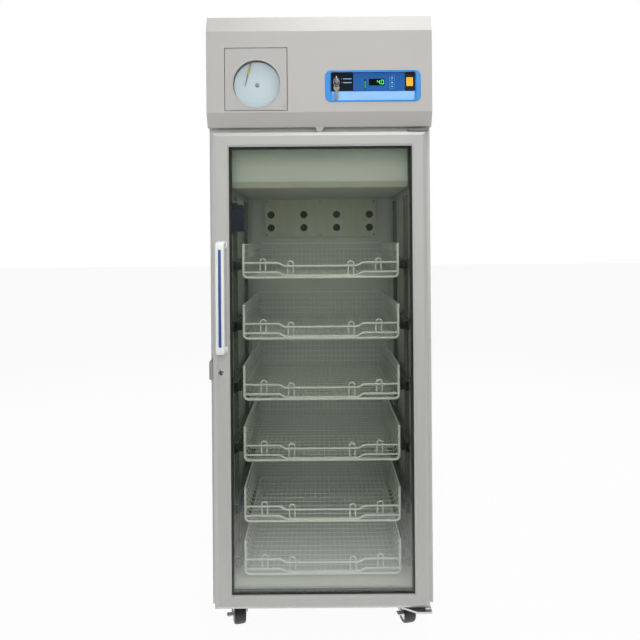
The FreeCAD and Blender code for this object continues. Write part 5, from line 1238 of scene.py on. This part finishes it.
# Place of each bar in half widths and quarter heights from the figure's middle
BARS: dict[Segment, tuple[int, int]] = {
    Segment.TOP: (0, 2),
    Segment.MIDDLE: (0, 0),
    Segment.BOTTOM: (0, -2),
    Segment.UPPER_LEFT: (-1, 1),
    Segment.LOWER_LEFT: (-1, -1),
    Segment.UPPER_RIGHT: (1, 1),
    Segment.LOWER_RIGHT: (1, -1),
}


def framed(x0: float, x1: float, z0: float, z1: float) -> tuple[np.ndarray, np.ndarray]:
    """Middle and size of a rectangle between two places each way."""
    return np.array([(x0 + x1) / 2.0, (z0 + z1) / 2.0]), np.array([x1 - x0, z1 - z0])


@dataclass
class ControlPanel:
    """Blue border with its sloped lip, rocker, display figures, lamps, symbols, switch and keys."""

    outer: tuple[float, float, float, float] = (18.0, 320.0, 1719.0, 1819.0)
    corner: float = 19.0
    front: float = -410.0
    rear: float = -388.0
    recess: tuple[float, float, float, float] = (37.0, 303.0, 1754.0, 1814.0)
    lip: tuple[float, float, float, float] = (35.5, 304.5, 1725.5, 1814.5)
    recess_back: float = -398.0
    membrane: float = -401.0
    display: tuple[float, float] = (181.3, 1782.3)
    figure: tuple[float, float, float] = (7.2, 12.6, 12.0)
    stroke: float = 1.35
    status: tuple[float, float] = (145.0, 1776.0)
    rocker: tuple[float, float] = (285.6, 1782.5)
    rocker_plate: tuple[float, float] = (286.0, 1784.0)
    rocker_face: float = -402.0
    rocker_half: float = 13.4
    buttons: tuple[tuple[str, float], ...] = (("up", 1795.0), ("mute", 1781.0), ("down", 1767.0))
    button_x: float = 230.0
    button_face: float = -402.5
    switch: tuple[float, float] = (54.0, 1787.0)
    bow: float = -415.0

    def bezel(self) -> Surface:
        """One skin from the rear rim round the rounded front into the recess.

        Row by row the outline shrinks from the outer rounded rectangle to the recess's
        one while its depth follows a raised border, a sloped lip below and a flat floor.
        """
        steps = 10
        centre, size = framed(*self.outer)
        lip_centre, lip = framed(*self.lip)
        hollow_centre, hollow = framed(*self.recess)
        rows = (
            (centre, size - 0.6, self.corner, self.rear),
            (centre, size - 0.6, self.corner, self.front + 3.0),
            (centre, size, self.corner, self.front + 2.6),
            (centre, size - 0.6, self.corner, self.front + 1.0),
            (centre, size - 2.4, self.corner - 1.0, self.front + 0.2),
            (centre, size - 5.0, self.corner - 2.0, self.front),
            (lip_centre, lip + 3.0, 15.0, self.front),
            (lip_centre, lip, 13.0, self.front + 1.2),
            (hollow_centre, hollow + 2.0, 4.0, self.recess_back - 3.0),
            (hollow_centre, hollow, 3.0, self.recess_back - 2.0),
            (hollow_centre, hollow - 0.4, 3.0, self.recess_back),
        )
        grid = np.empty((len(rows), 4 * steps, 3))
        for row, (middle, extent, radius, depth) in enumerate(rows):
            outline = round_rectangle(extent[0], extent[1], radius, steps) + middle
            grid[row, :, 0], grid[row, :, 2] = outline.T
            grid[row, :, 1] = depth
        return closed_tube(grid)

    def side_plate(self) -> Surface:
        """Dark plate behind the key switch."""
        return block((38.0, 107.5), (self.membrane - 0.25, self.membrane + 0.5), (1755.0, 1813.0))

    def rocker_box(self) -> Surface:
        """Dark frame round the rocker."""
        outer = round_rectangle(31.5, 57.5, 1.5, 4) + np.array(self.rocker_plate)
        inner = round_rectangle(22.4, 30.6, 1.0, 4) + np.array(self.rocker)
        front, back = self.membrane - 0.8, self.membrane + 0.3
        return holed_plate(outer[:, ::-1], inner[:, ::-1], Axis.Y, front, back)

    def rocker_cap(self) -> Surface:
        """Two slightly dished faces that meet at the pivot line, over a base tapered for the tip."""
        x, z = self.rocker
        up = np.linspace(-self.rocker_half, self.rocker_half, 15)
        share = np.abs(up) / self.rocker_half
        depth = self.rocker_face - share**1.5
        across = np.array([-10.3, -9.6, 9.6, 10.3])
        grid = np.empty((len(up), len(across), 3))
        grid[..., 0] = x + across
        grid[..., 1] = depth[:, None] + np.array([0.6, 0.0, 0.0, 0.6])
        grid[..., 2] = z + up[:, None]
        base = grid.copy()
        base[..., 1] = self.rocker_face + 3.1 - 2.1 * share[:, None]
        whole, back = slice(None), slice(None, None, -1)
        rim = [(0, whole), (whole, -1), (-1, back), (back, 0)]
        edges = [np.concatenate([face[part] for part in rim]) for face in (grid, base)]
        return joined([skin(grid), skin(np.stack(edges), wrap_columns=True), skin(base)])

    def figures(self, text: str = "40") -> Surface:
        """Seven-bar figures, with a point after the first."""
        width, height, pitch = self.figure
        (x, z), thick = self.display, self.stroke
        depth = (self.membrane - 0.75, self.membrane - 0.45)
        parts = []
        for index, figure in enumerate(text):
            middle = x + pitch * (index + 0.5)
            for bar in (bar for bar in BARS if bar in FIGURES[figure]):
                column, row = BARS[bar]
                across, up = (thick, height / 2.0 - 0.9) if column else (width - 0.9, thick)
                run, rise = middle + column * width / 2.0, z + row * height / 4.0
                parts.append(block(around(run, across), depth, around(rise, up)))
        parts.append(block(around(x + pitch, 1.6), depth, around(z - height / 2.0, 1.6)))
        return joined(parts)

    def lamps(self) -> Surface:
        """Stack of status lamps beside the display."""
        x, z = self.status
        front, back = self.membrane - 0.9, self.membrane - 0.3
        lamp = prism(round_rectangle(4.2, 3.6, 0.8, 4), Axis.Y, front, back, 0.2)
        return lamp.repeated([(x, 0.0, z + rise) for rise in (-11.0, -5.0, 1.0, 7.0)])

    def symbols(self) -> dict[str, Surface]:
        """Raised arrow, bell-like dome and arrow on the three keys."""
        triangle = np.array([(-3.2, -2.2), (3.2, -2.2), (0.0, 3.0)])
        turn = np.linspace(0.0, math.pi, 9)
        crown = np.stack([2.7 * np.cos(turn), 3.1 * np.sin(turn) - 1.6], axis=-1)
        dome = np.concatenate([[(-3.6, -2.6), (3.6, -2.6)], crown])
        marks = {"up": triangle, "mute": dome, "down": -triangle[::-1]}
        front, back = self.button_face - 0.35, self.button_face
        return {
            name: extruded(marks[name] + np.array([self.button_x, level]), front, back)
            for name, level in self.buttons
        }

    def key_rims(self) -> Surface:
        """Pale outline round each key."""
        rims = []
        for _, level in self.buttons:
            corners = round_rectangle(15.4, 12.4, 2.2, 4) + np.array([self.button_x, level])
            path = np.insert(corners, 1, self.membrane - 0.1, axis=1)
            rims.append(wire(path, 0.3, (0, 1, 0), 6, closed=True))
        return joined(rims)

    def switch_ring(self) -> Surface:
        """Stepped collar of the key switch."""
        front = [(5.3, -405.8), (8.2, -406.3), (9.0, -405.6), (9.0, -402.0)]
        flange = [(10.4, -401.6), (10.4, -400.8), (5.3, -400.8)]
        x, z = self.switch
        return ring_lathe(front + flange, (x, 0.0, z), Axis.Y, 36)

    def switch_marks(self) -> Surface:
        """Two short position marks beside the key switch."""
        x, z = self.switch
        depth = (self.membrane - 0.55, self.membrane - 0.25)
        spans = (((x + 16.0, x + 19.0), 0.9), ((x + 22.0, x + 48.0), 2.2))
        marks = [(run, around(z + lift, tall)) for run, tall in spans for lift in (6.0, -6.0)]
        return joined([block(run, depth, rise) for run, rise in marks])

    def key(self) -> Surface:
        """Turned key: a plug, a neck and a rounded bow with a slot for the ring."""
        x, z = self.switch
        barrel = [(4.9, -401.5), (4.9, -406.6), (4.3, -407.2), (1.0, -407.2)]
        plug = lathe(barrel, (x, 0.0, z), Axis.Y, 24)
        middle = np.array([self.bow, z])
        outer = round_rectangle(22.0, 22.0, 9.0, 8) + middle
        inner = round_rectangle(5.4, 8.4, 2.4, 8) + middle
        bow = holed_plate(outer, inner, Axis.X, x - 1.2, x + 1.2)
        neck = block((x - 1.2, x + 1.2), (-408.2, -406.4), around(z, 8.0))
        return joined([plug, bow, neck])

    def ring_and_spare(self) -> Surface:
        """Split ring through the bow, and a second key that hangs from it."""
        x, z = self.switch
        middle = z - 9.0
        loop = circle(9.0, 40) + np.array([x, middle])
        ring = wire(np.insert(loop, 1, self.bow, axis=1), 0.85, (0, 1, 0), 8, closed=True)
        top = middle - 7.4
        outer = round_rectangle(18.5, 18.5, 8.0, 8) + np.array([top - 9.0, x])
        inner = round_rectangle(5.0, 9.0, 2.2, 8) + np.array([top - 3.8, x])
        bow = holed_plate(outer, inner, Axis.Y, *around(self.bow, 2.2))
        teeth = [(3.4, -9.0), (2.0, -11.0), (3.4, -13.0), (1.6, -16.0), (3.2, -19.0), (2.0, -22.0)]
        outline = [(-3.4, 0.0), (3.4, 0.0), *teeth, (3.2, -25.0), (0.6, -30.0), (-3.4, -26.0)]
        blade = extruded(np.array(outline) + np.array([x, top - 17.4]), *around(self.bow, 1.8))
        return joined([ring, bow, blade])

    def build(self) -> None:
        """Makes the panel's pieces on the bodies that carry them."""
        cover = "head_cover"
        marks = [
            Piece(f"symbol_{name}", surface, Finishes.PRINT, f"button_{name}", "blue_plastic")
            for name, surface in self.symbols().items()
        ]
        build_all(
            Piece(
                "panel_border", self.bezel(), Finishes.BORDER, cover, "blue_plastic",
                ("control_bezel",), 50.0
            ),
            Piece("switch_plate", self.side_plate(), Finishes.NAVY, cover, "navy_plastic", bevel=0.2),
            Piece("rocker_frame", self.rocker_box(), Finishes.DARK, cover, "dark_plastic"),
            Piece(
                "rocker_cap", self.rocker_cap(), Finishes.AMBER, "power_rocker", "amber_plastic",
                ("power_rocker",)
            ),
            Piece("display_figures", self.figures(), Finishes.DIGIT, cover, "display"),
            Piece("status_lamps", self.lamps(), Finishes.LAMP, cover, "display"),
            Piece("key_outlines", self.key_rims(), Finishes.PRINT, cover, "blue_plastic"),
            *marks,
            Piece(
                "switch_collar", self.switch_ring(), Finishes.CHROME, cover, "chrome", ("key_switch",)
            ),
            Piece("switch_marks", self.switch_marks(), Finishes.PRINT, cover, "blue_plastic"),
            Piece("key_in_switch", self.key(), Finishes.KEY, "key", "chrome", ("key",), bevel=0.3),
            Piece(
                "hanging_key", self.ring_and_spare(), Finishes.KEY, "spare_key", "chrome",
                ("spare_key",)
            ),
        )


@dataclass
class RearScrews:
    """Domed screws round the rear grille and down the case's back."""

    head: float = 4.6
    grille_face: float = 432.2
    grille_columns: tuple[float, ...] = (-338.0, 0.0, 338.0)
    grille_levels: tuple[float, ...] = (1674.0, 1982.0)
    case_face: float = 431.0
    case_columns: tuple[float, ...] = (-340.0, 340.0)
    case_levels: tuple[float, ...] = (150.0, 640.0, 1130.0, 1620.0)

    def build(self) -> None:
        """Makes every screw on its face."""
        heads = screws(self.head, 1.0, self.grille_columns, self.grille_face, self.grille_levels)
        heads += screws(self.head, 1.0, self.case_columns, self.case_face, self.case_levels)
        Piece("rear_screws", heads, Finishes.STEEL, "cabinet", "steel").build()


@dataclass
class CoolingUnit:
    """Condenser with its fins and tubes, fan, compressor and pipes in the machine compartment."""

    left: float = 0.0
    right: float = 300.0
    front: float = -223.0
    back: float = -157.0
    low: float = 1662.0
    high: float = 1932.0
    shroud_back: float = -117.0
    fan: tuple[float, float, float] = (150.0, -137.0, 1797.0)
    fan_radius: float = 104.0
    opening: float = 110.0
    blade_count: int = 5
    hub: float = 26.0
    fin_pitch: float = 3.2
    tube: float = 4.4
    tube_pitch: float = 26.0
    can: tuple[float, float] = (-170.0, 160.0)
    can_radius: float = 95.0
    can_foot: float = 1676.0
    can_height: float = 190.0
    foot_pitch: float = 152.0

    def fins(self) -> Surface:
        """Thin upright plates at a close pitch."""
        places = np.arange(self.left + 6.0, self.right - 5.0, self.fin_pitch).tolist()
        lows = [(x, self.front + 2.0, self.low + 4.0) for x in places]
        highs = [(x + 0.5, self.back - 2.0, self.high - 4.0) for x in places]
        return blocks(lows, highs)

    def tubes(self) -> Surface:
        """Two serpentine tubes through the fins, with their bends at the end plates."""
        levels = np.arange(self.low + 18.0, self.high - 10.0, self.tube_pitch).tolist()
        ends = (self.left + 1.0, self.right - 1.0)
        rows = enumerate(levels)
        turns = [(x, level) for row, level in rows for x in (ends[::-1] if row % 2 else ends)]
        runs = [[(x, y, z) for x, z in turns] for y in (self.front + 18.0, self.back - 18.0)]
        return joined([wire(bent(corners, 10.0, 5), self.tube, (0, 1, 0), 10) for corners in runs])

    def end_plates(self) -> Surface:
        """Plates round the fins: one at each end, one above and one below."""
        left, right, low, high = self.left, self.right, self.low, self.high
        depth = (self.front, self.back)
        ends = ((left, left + 3.0), (right - 3.0, right))
        plates = [block(span, depth, (low, high)) for span in ends]
        caps = [block((left, right), depth, span) for span in ((low, low + 2.0), (high - 2.0, high))]
        return joined(plates + caps)

    def shroud(self) -> Surface:
        """Box behind the fins whose rear wall has the fan's round opening, with a rolled lip."""
        x, _, z = self.fan
        middle, face = np.array([z, x]), self.shroud_back
        turn = (np.arange(64) + 0.5) * math.pi / 32.0
        ray = np.stack([np.cos(turn), np.sin(turn)], axis=-1)
        half = np.array([self.high - self.low, self.right - self.left]) / 2.0
        outer = ray / np.abs(ray / half).max(axis=1, keepdims=True)
        wall = holed_plate(outer + middle, self.opening * ray + middle, Axis.Y, face - 3.0, face)
        within = outer * (1.0 - 3.0 / half) + middle
        box = holed_plate(outer + middle, within, Axis.Y, self.back, face - 2.9)
        tube = ((-2.4, -16.0), (0.4, -16.0), (0.4, -1.0))
        roll = ((3.0, 0.6), (3.0, 1.2), (0.0, 0.8), (-2.4, -1.4))
        lip = [(self.opening + wider, y) for wider, y in tube + roll]
        return joined([wall, box, ring_lathe(lip, (x, face, z), Axis.Y, 64)])

    def motor(self) -> Surface:
        """Fan motor on three arms across the opening."""
        x, _, z = self.fan
        can = [(12.0, -124.4), (29.0, -124.4), (30.0, -123.4), (30.0, -98.0), (27.0, -94.0)]
        parts = [lathe([*can, (10.0, -92.5), (3.0, -92.0)], (x, 0.0, z), Axis.Y, 36)]
        arm = block((24.0, 112.0), (-116.6, -114.6), (-8.0, 8.0)).moved(x=x, z=z)
        parts += [arm.turned(degrees, Axis.Y, (x, 0.0, z)) for degrees in (90.0, 210.0, 330.0)]
        return joined(parts)

    def blades(self) -> Surface:
        """Five swept blades, their angle easing from root to tip, each a thin closed shell."""
        share = np.linspace(0.0, 1.0, 9)[:, None]
        chord = np.linspace(-1.0, 1.0, 9)[None, :]
        root = self.hub * 0.92
        radius = root + (self.fan_radius - root) * share
        angle = math.radians(1.0) * (34.0 - 14.0 * share)
        half = 16.0 + 24.0 * np.sqrt(share)
        bearing = chord * half * np.cos(angle) / np.maximum(radius, 20.0) + 0.25 * share
        rise = chord * np.minimum(half * np.sin(angle), 10.0) + 1.2 * (1.0 - chord**2)
        front = np.stack([radius * np.cos(bearing), rise - 0.8, radius * np.sin(bearing)], axis=-1)
        sides = (front, front + np.array([0.0, 1.6, 0.0]))
        rim = [(0, slice(None)), (slice(1, None), -1), (-1, slice(-2, None, -1)), (slice(-2, 0, -1), 0)]
        edges = [np.concatenate([side[part] for part in rim]) for side in sides]
        blade = joined([*map(skin, sides), skin(np.stack(edges), wrap_columns=True)]).moved(*self.fan)
        step = 360.0 / self.blade_count
        blades = [blade.turned(step * index, Axis.Y, self.fan) for index in range(self.blade_count)]
        rim = [(25.5, -10.5), (self.hub, -8.0), (self.hub, 9.5), (23.0, 11.6)]
        hub = lathe([(6.0, -12.0), (22.0, -12.0), *rim, (5.0, 11.6)], self.fan, Axis.Y, 40)
        return joined([*blades, hub])

    def compressor(self) -> Surface:
        """Domed can with a weld band and a side cover, on a foot plate with four grommets."""
        (x, y), r, base = self.can, self.can_radius, self.can_foot
        top = base + self.can_height - 2.0
        turn = np.linspace(0.0, math.pi / 2.0, 9)[:-1]
        bowl = ((0.55, -2.0), (0.82, 4.0), (0.95, 18.0), (0.98, 34.0))
        band = ((0.985, 84.0), (1.0, 86.0), (1.0, 94.0), (0.985, 96.0))
        lower = [(r * share, base + rise) for share, rise in bowl + band]
        crown = np.stack([0.985 * r * np.cos(turn) ** 0.7, top - 52.0 + 50.0 * np.sin(turn)], axis=-1)
        shell = lathe([*lower, *crown.tolist(), (4.0, top)], (x, y, 0.0), Axis.Z, 56)
        plate = prism(round_rectangle(178.0, 178.0, 20.0), Axis.Z, base - 4.0, base - 1.0, 0.8)
        rubber = ((10.0, -13.6), (12.0, -12.0), (8.5, -8.0), (12.0, -4.0), (11.0, 2.0), (3.0, 3.0))
        foot = lathe(rubber, (x, y, base), Axis.Z, 20)
        feet = foot.repeated([(*place, 0.0) for place in square(0.0, 0.0, self.foot_pitch)])
        cover = prism(round_rectangle(64.0, 56.0, 5.0), Axis.Y, y - r, y - r + 26.0, 3.0)
        return joined([shell, plate.moved(x=x, y=y), feet, cover.moved(x=x, z=base + 80.0)])

    def pipes(self) -> Surface:
        """Discharge pipe up and forward to the condenser, and suction pipe down to the floor."""
        x, y = self.can
        out, aside, near, level = x + 118.0, y - 30.0, self.front + 18.0, self.high - 32.0
        rising = [(x + 88.0, aside, 1740.0), (out, aside, 1740.0), (out, aside, level)]
        ahead = [(out, near, level), (self.left + 8.0, near, level)]
        discharge = wire(bent(rising + ahead, 14.0), 4.0, (1, 1, 1))
        falling = [(x - 88.0, y, 1720.0), (x - 130.0, y, 1720.0), (x - 130.0, y, 1661.0)]
        return discharge + wire(bent(falling, 14.0), 5.0, (0, 1, 0))

    def build(self) -> None:
        """Makes the cooling unit."""
        home = "cabinet"
        whole = ("condenser",)
        build_all(
            Piece("condenser_fins", self.fins(), Finishes.FINS, home, "aluminium_fins", whole),
            Piece("condenser_tubes", self.tubes(), Finishes.COPPER, home, "aluminium_fins", whole),
            Piece("condenser_ends", self.end_plates(), Finishes.FINS, home, "aluminium_fins", whole),
            Piece("fan_shroud", self.shroud(), Finishes.CASE, home, "aluminium_fins", whole),
            Piece("fan_motor", self.motor(), Finishes.BLACK_STEEL, home, "dark_steel", whole),
            Piece(
                "fan_wheel", self.blades(), Finishes.DARK, "condenser_fan", "dark_plastic",
                ("condenser_fan",)
            ),
            Piece(
                "compressor_can", self.compressor(), Finishes.BLACK_STEEL, home, "dark_steel",
                ("compressor",)
            ),
            Piece("refrigerant_pipes", self.pipes(), Finishes.COPPER, home, "dark_steel"),
        )


@dataclass
class Caster:
    """One swivel caster: tyre, hub, axle bolt and mounting bolts."""

    place: str
    x: float
    y: float
    turn: float = 14.0
    trail: float = 20.0
    radius: float = 38.0
    width: float = 38.0
    fork_half: float = 19.3
    bolt_pitch: float = 70.0

    def settled(self, surface: Surface) -> Surface:
        """A surface made about the wheel's middle with its axle along X, turned and put in place.

        The wheel's middle is the swivel axis shifted back by the trail and turned with the fork.
        """
        turn = math.radians(self.turn)
        x, y = self.x - self.trail * math.sin(turn), self.y + self.trail * math.cos(turn)
        return surface.turned(self.turn, Axis.Z).moved(x, y, self.radius)

    def tyre(self) -> Surface:
        """Soft tread: a section with a crowned face and rounded shoulders turned about the axle."""
        r, half = self.radius, self.width / 2.0
        share = np.linspace(-1.0, 1.0, 9)
        crown = np.stack([r - 1.6 * share**4, share * (half - 1.8)], axis=-1).tolist()
        wall = [(r - 11.0, half - 0.6), (r - 4.0, half - 0.2)]
        profile = [*((a, -b) for a, b in wall), *crown, *wall[::-1]]
        return self.settled(ring_lathe(profile, (0, 0, 0), Axis.X, 56))

    def hub(self) -> Surface:
        """Moulded centre with a dished face and a bearing boss on each side."""
        r, half = self.radius - 10.8, self.width / 2.0
        boss = [(2.0, half - 0.4), (7.5, half - 0.4), (8.2, half - 1.6), (10.0, half - 5.0)]
        side = [*boss, (r - 6.0, half - 5.5), (r - 3.0, half - 1.6), (r, half - 1.2)]
        profile = [(a, -b) for a, b in side] + side[::-1]
        return self.settled(lathe(profile, (0, 0, 0), Axis.X, 40))

    def axle_bolt(self) -> Surface:
        """Hexagon head on one leg and nut on the other."""
        half = self.fork_half + 3.0
        hexagon = circle(6.4, 6)
        head = prism(hexagon, Axis.X, -half - 4.0, -half + 0.2, 0.5)
        nut = prism(hexagon, Axis.X, half - 0.2, half + 4.4, 0.5)
        end = lathe([(3.0, half + 4.0), (3.0, half + 5.6), (2.2, half + 6.2)], (0, 0, 0), Axis.X, 16)
        return self.settled(joined([head, nut, end]))

    def bolts(self) -> Surface:
        """Four bolt heads under the mounting plate's corners."""
        head = prism(circle(6.2, 6), Axis.Z, 103.4, 108.2, 0.5)
        return head.repeated([(*place, 0.0) for place in square(self.x, self.y, self.bolt_pitch)])

    def build(self) -> None:
        """Makes the caster's pieces on its wheel, its fork and the cabinet."""
        wheel, fork = f"wheel_{self.place}", f"fork_{self.place}"
        node = (f"caster_wheel_{self.place}",)
        build_all(
            Piece(f"{wheel}_tyre", self.tyre(), Finishes.TYRE, wheel, "rubber", node, 50.0),
            Piece(f"{wheel}_hub", self.hub(), Finishes.GREY, wheel, "rubber", node),
            Piece(f"{fork}_axle", self.axle_bolt(), Finishes.STEEL, fork, "steel"),
            Piece(f"caster_bolts_{self.place}", self.bolts(), Finishes.STEEL, "cabinet", "steel"),
        )


# Studio


@dataclass
class Studio:
    """Pale floor, soft lamps, even surroundings and the camera at the photograph's place."""

    camera_place: tuple[float, float, float] = (0.0, -2.433, 1.285)
    focal_px: float = 643.6
    image_px: float = 640.0
    horizon_px: float = 240.0
    centre_px: float = 320.4
    lean: float = 0.0078
    floor_half: float = 30.0
    surround: float = 0.08
    dark_room: float = 0.08

    def camera(self) -> None:
        """Level camera, leaned by the photograph's small tilt, shifted down to its frame."""
        data = bpy.data.cameras.new("photograph_view")
        data.sensor_width = 36.0
        data.lens = 36.0 * self.focal_px / self.image_px
        data.shift_x = -(self.centre_px - self.image_px / 2.0) / self.image_px
        data.shift_y = (self.horizon_px - self.image_px / 2.0) / self.image_px
        data.clip_end = 60.0
        made = bpy.data.objects.new("photograph_view", data)
        level = Matrix.Rotation(math.radians(90.0), 4, "X") @ Matrix.Rotation(-self.lean, 4, "Z")
        made.matrix_world = Matrix.Translation(self.camera_place) @ level
        bpy.context.scene.collection.objects.link(made)
        bpy.context.scene.camera = made

    def floor(self) -> None:
        """Wide pale plane under the casters."""
        mesh = bpy.data.meshes.new("floor")
        corners = self.floor_half * np.array([(-1, -1, 0), (1, -1, 0), (1, 1, 0), (-1, 1, 0)])
        mesh.from_pydata(corners.tolist(), [], [(0, 1, 2, 3)])
        mesh.materials.append(Finishes.FLOOR.material())
        made = bpy.data.objects.new("floor", mesh)
        bpy.context.scene.collection.objects.link(made)

    def lamp(self, name: str, place: Sequence[float], aim: Sequence[float], size: float, power: float,
             mirrored: bool = True) -> None:
        """A square area lamp that faces a point.

        Args:
            name: the lamp's name.
            place: where it hangs, in metres.
            aim: the point it faces.
            size: side of its square.
            power: its power in watts.
            mirrored: whether gloss and glass show it.
        """
        data = bpy.data.lights.new(name, "AREA")
        data.size = size
        data.energy = power
        made = bpy.data.objects.new(name, data)
        made.visible_glossy = mirrored
        ahead = np.asarray(aim, float) - np.asarray(place, float)
        ahead /= np.linalg.norm(ahead)
        right = np.cross(ahead, (0.0, 0.0, 1.0))
        right /= np.linalg.norm(right)
        above = np.cross(right, ahead)
        turn = Matrix(np.stack([right, above, -ahead], axis=-1).tolist()).to_4x4()
        made.matrix_world = Matrix.Translation(tuple(place)) @ turn
        bpy.context.scene.collection.objects.link(made)

    def surroundings(self) -> None:
        """Even light all round, plain white behind the object and a dim room in mirrors and glass."""
        world = bpy.data.worlds.new("surroundings")
        shader = Shader(world)
        paths = shader.add("ShaderNodeLightPath").outputs
        seen = shader.white("ShaderNodeBackground", Strength=self.surround)
        for ray, strength in (("Is Glossy Ray", self.dark_room), ("Is Camera Ray", 1.0)):
            light = shader.white("ShaderNodeBackground", Strength=strength)
            seen = shader.blend(paths[ray], seen, light)
        shader.add("ShaderNodeOutputWorld", {"Surface": seen})
        bpy.context.scene.world = world

    def build(self) -> None:
        """Sets the view, the floor and the light."""
        bpy.context.scene.view_settings.view_transform = "Standard"
        self.floor()
        self.surroundings()
        self.lamp("overhead_softbox", (0.45, -1.0, 4.1), (0.0, -0.2, 1.4), 1.6, 56.0)
        self.lamp("front_softbox", (0.0, -2.75, 1.8), (0.0, 0.0, 1.1), 1.8, 36.0, mirrored=False)
        self.lamp("right_softbox", (1.9, -2.2, 2.7), (0.0, -0.4, 1.8), 1.0, 8.0)
        self.lamp("left_softbox", (-3.2, -0.8, 1.4), (0.0, -0.4, 1.0), 2.0, 22.0)
        self.lamp("rear_softbox", (0.0, 3.6, 3.4), (0.0, 0.0, 1.0), 2.0, 60.0)
        self.lamp("right_rear_softbox", (3.4, 1.6, 2.2), (0.0, 0.2, 1.0), 2.0, 50.0)
        self.lamp("left_rear_softbox", (-3.4, 1.6, 2.2), (0.0, 0.2, 1.0), 2.0, 30.0)
        self.camera()


def main() -> None:
    """Builds every sub-assembly in order, then the studio."""
    logging.basicConfig(level=logging.INFO, format="%(name)s %(message)s")
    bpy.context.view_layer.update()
    dress_nodes()
    WireDrawers().build()
    CabinetInside().build()
    Door().build()
    Recorder().build()
    ControlPanel().build()
    RearScrews().build()
    CoolingUnit().build()
    for place, (x, y) in CASTER_PLACES.items():
        Caster(place, x, y).build()
    Studio().build()


if __name__ == "__main__":
    main()
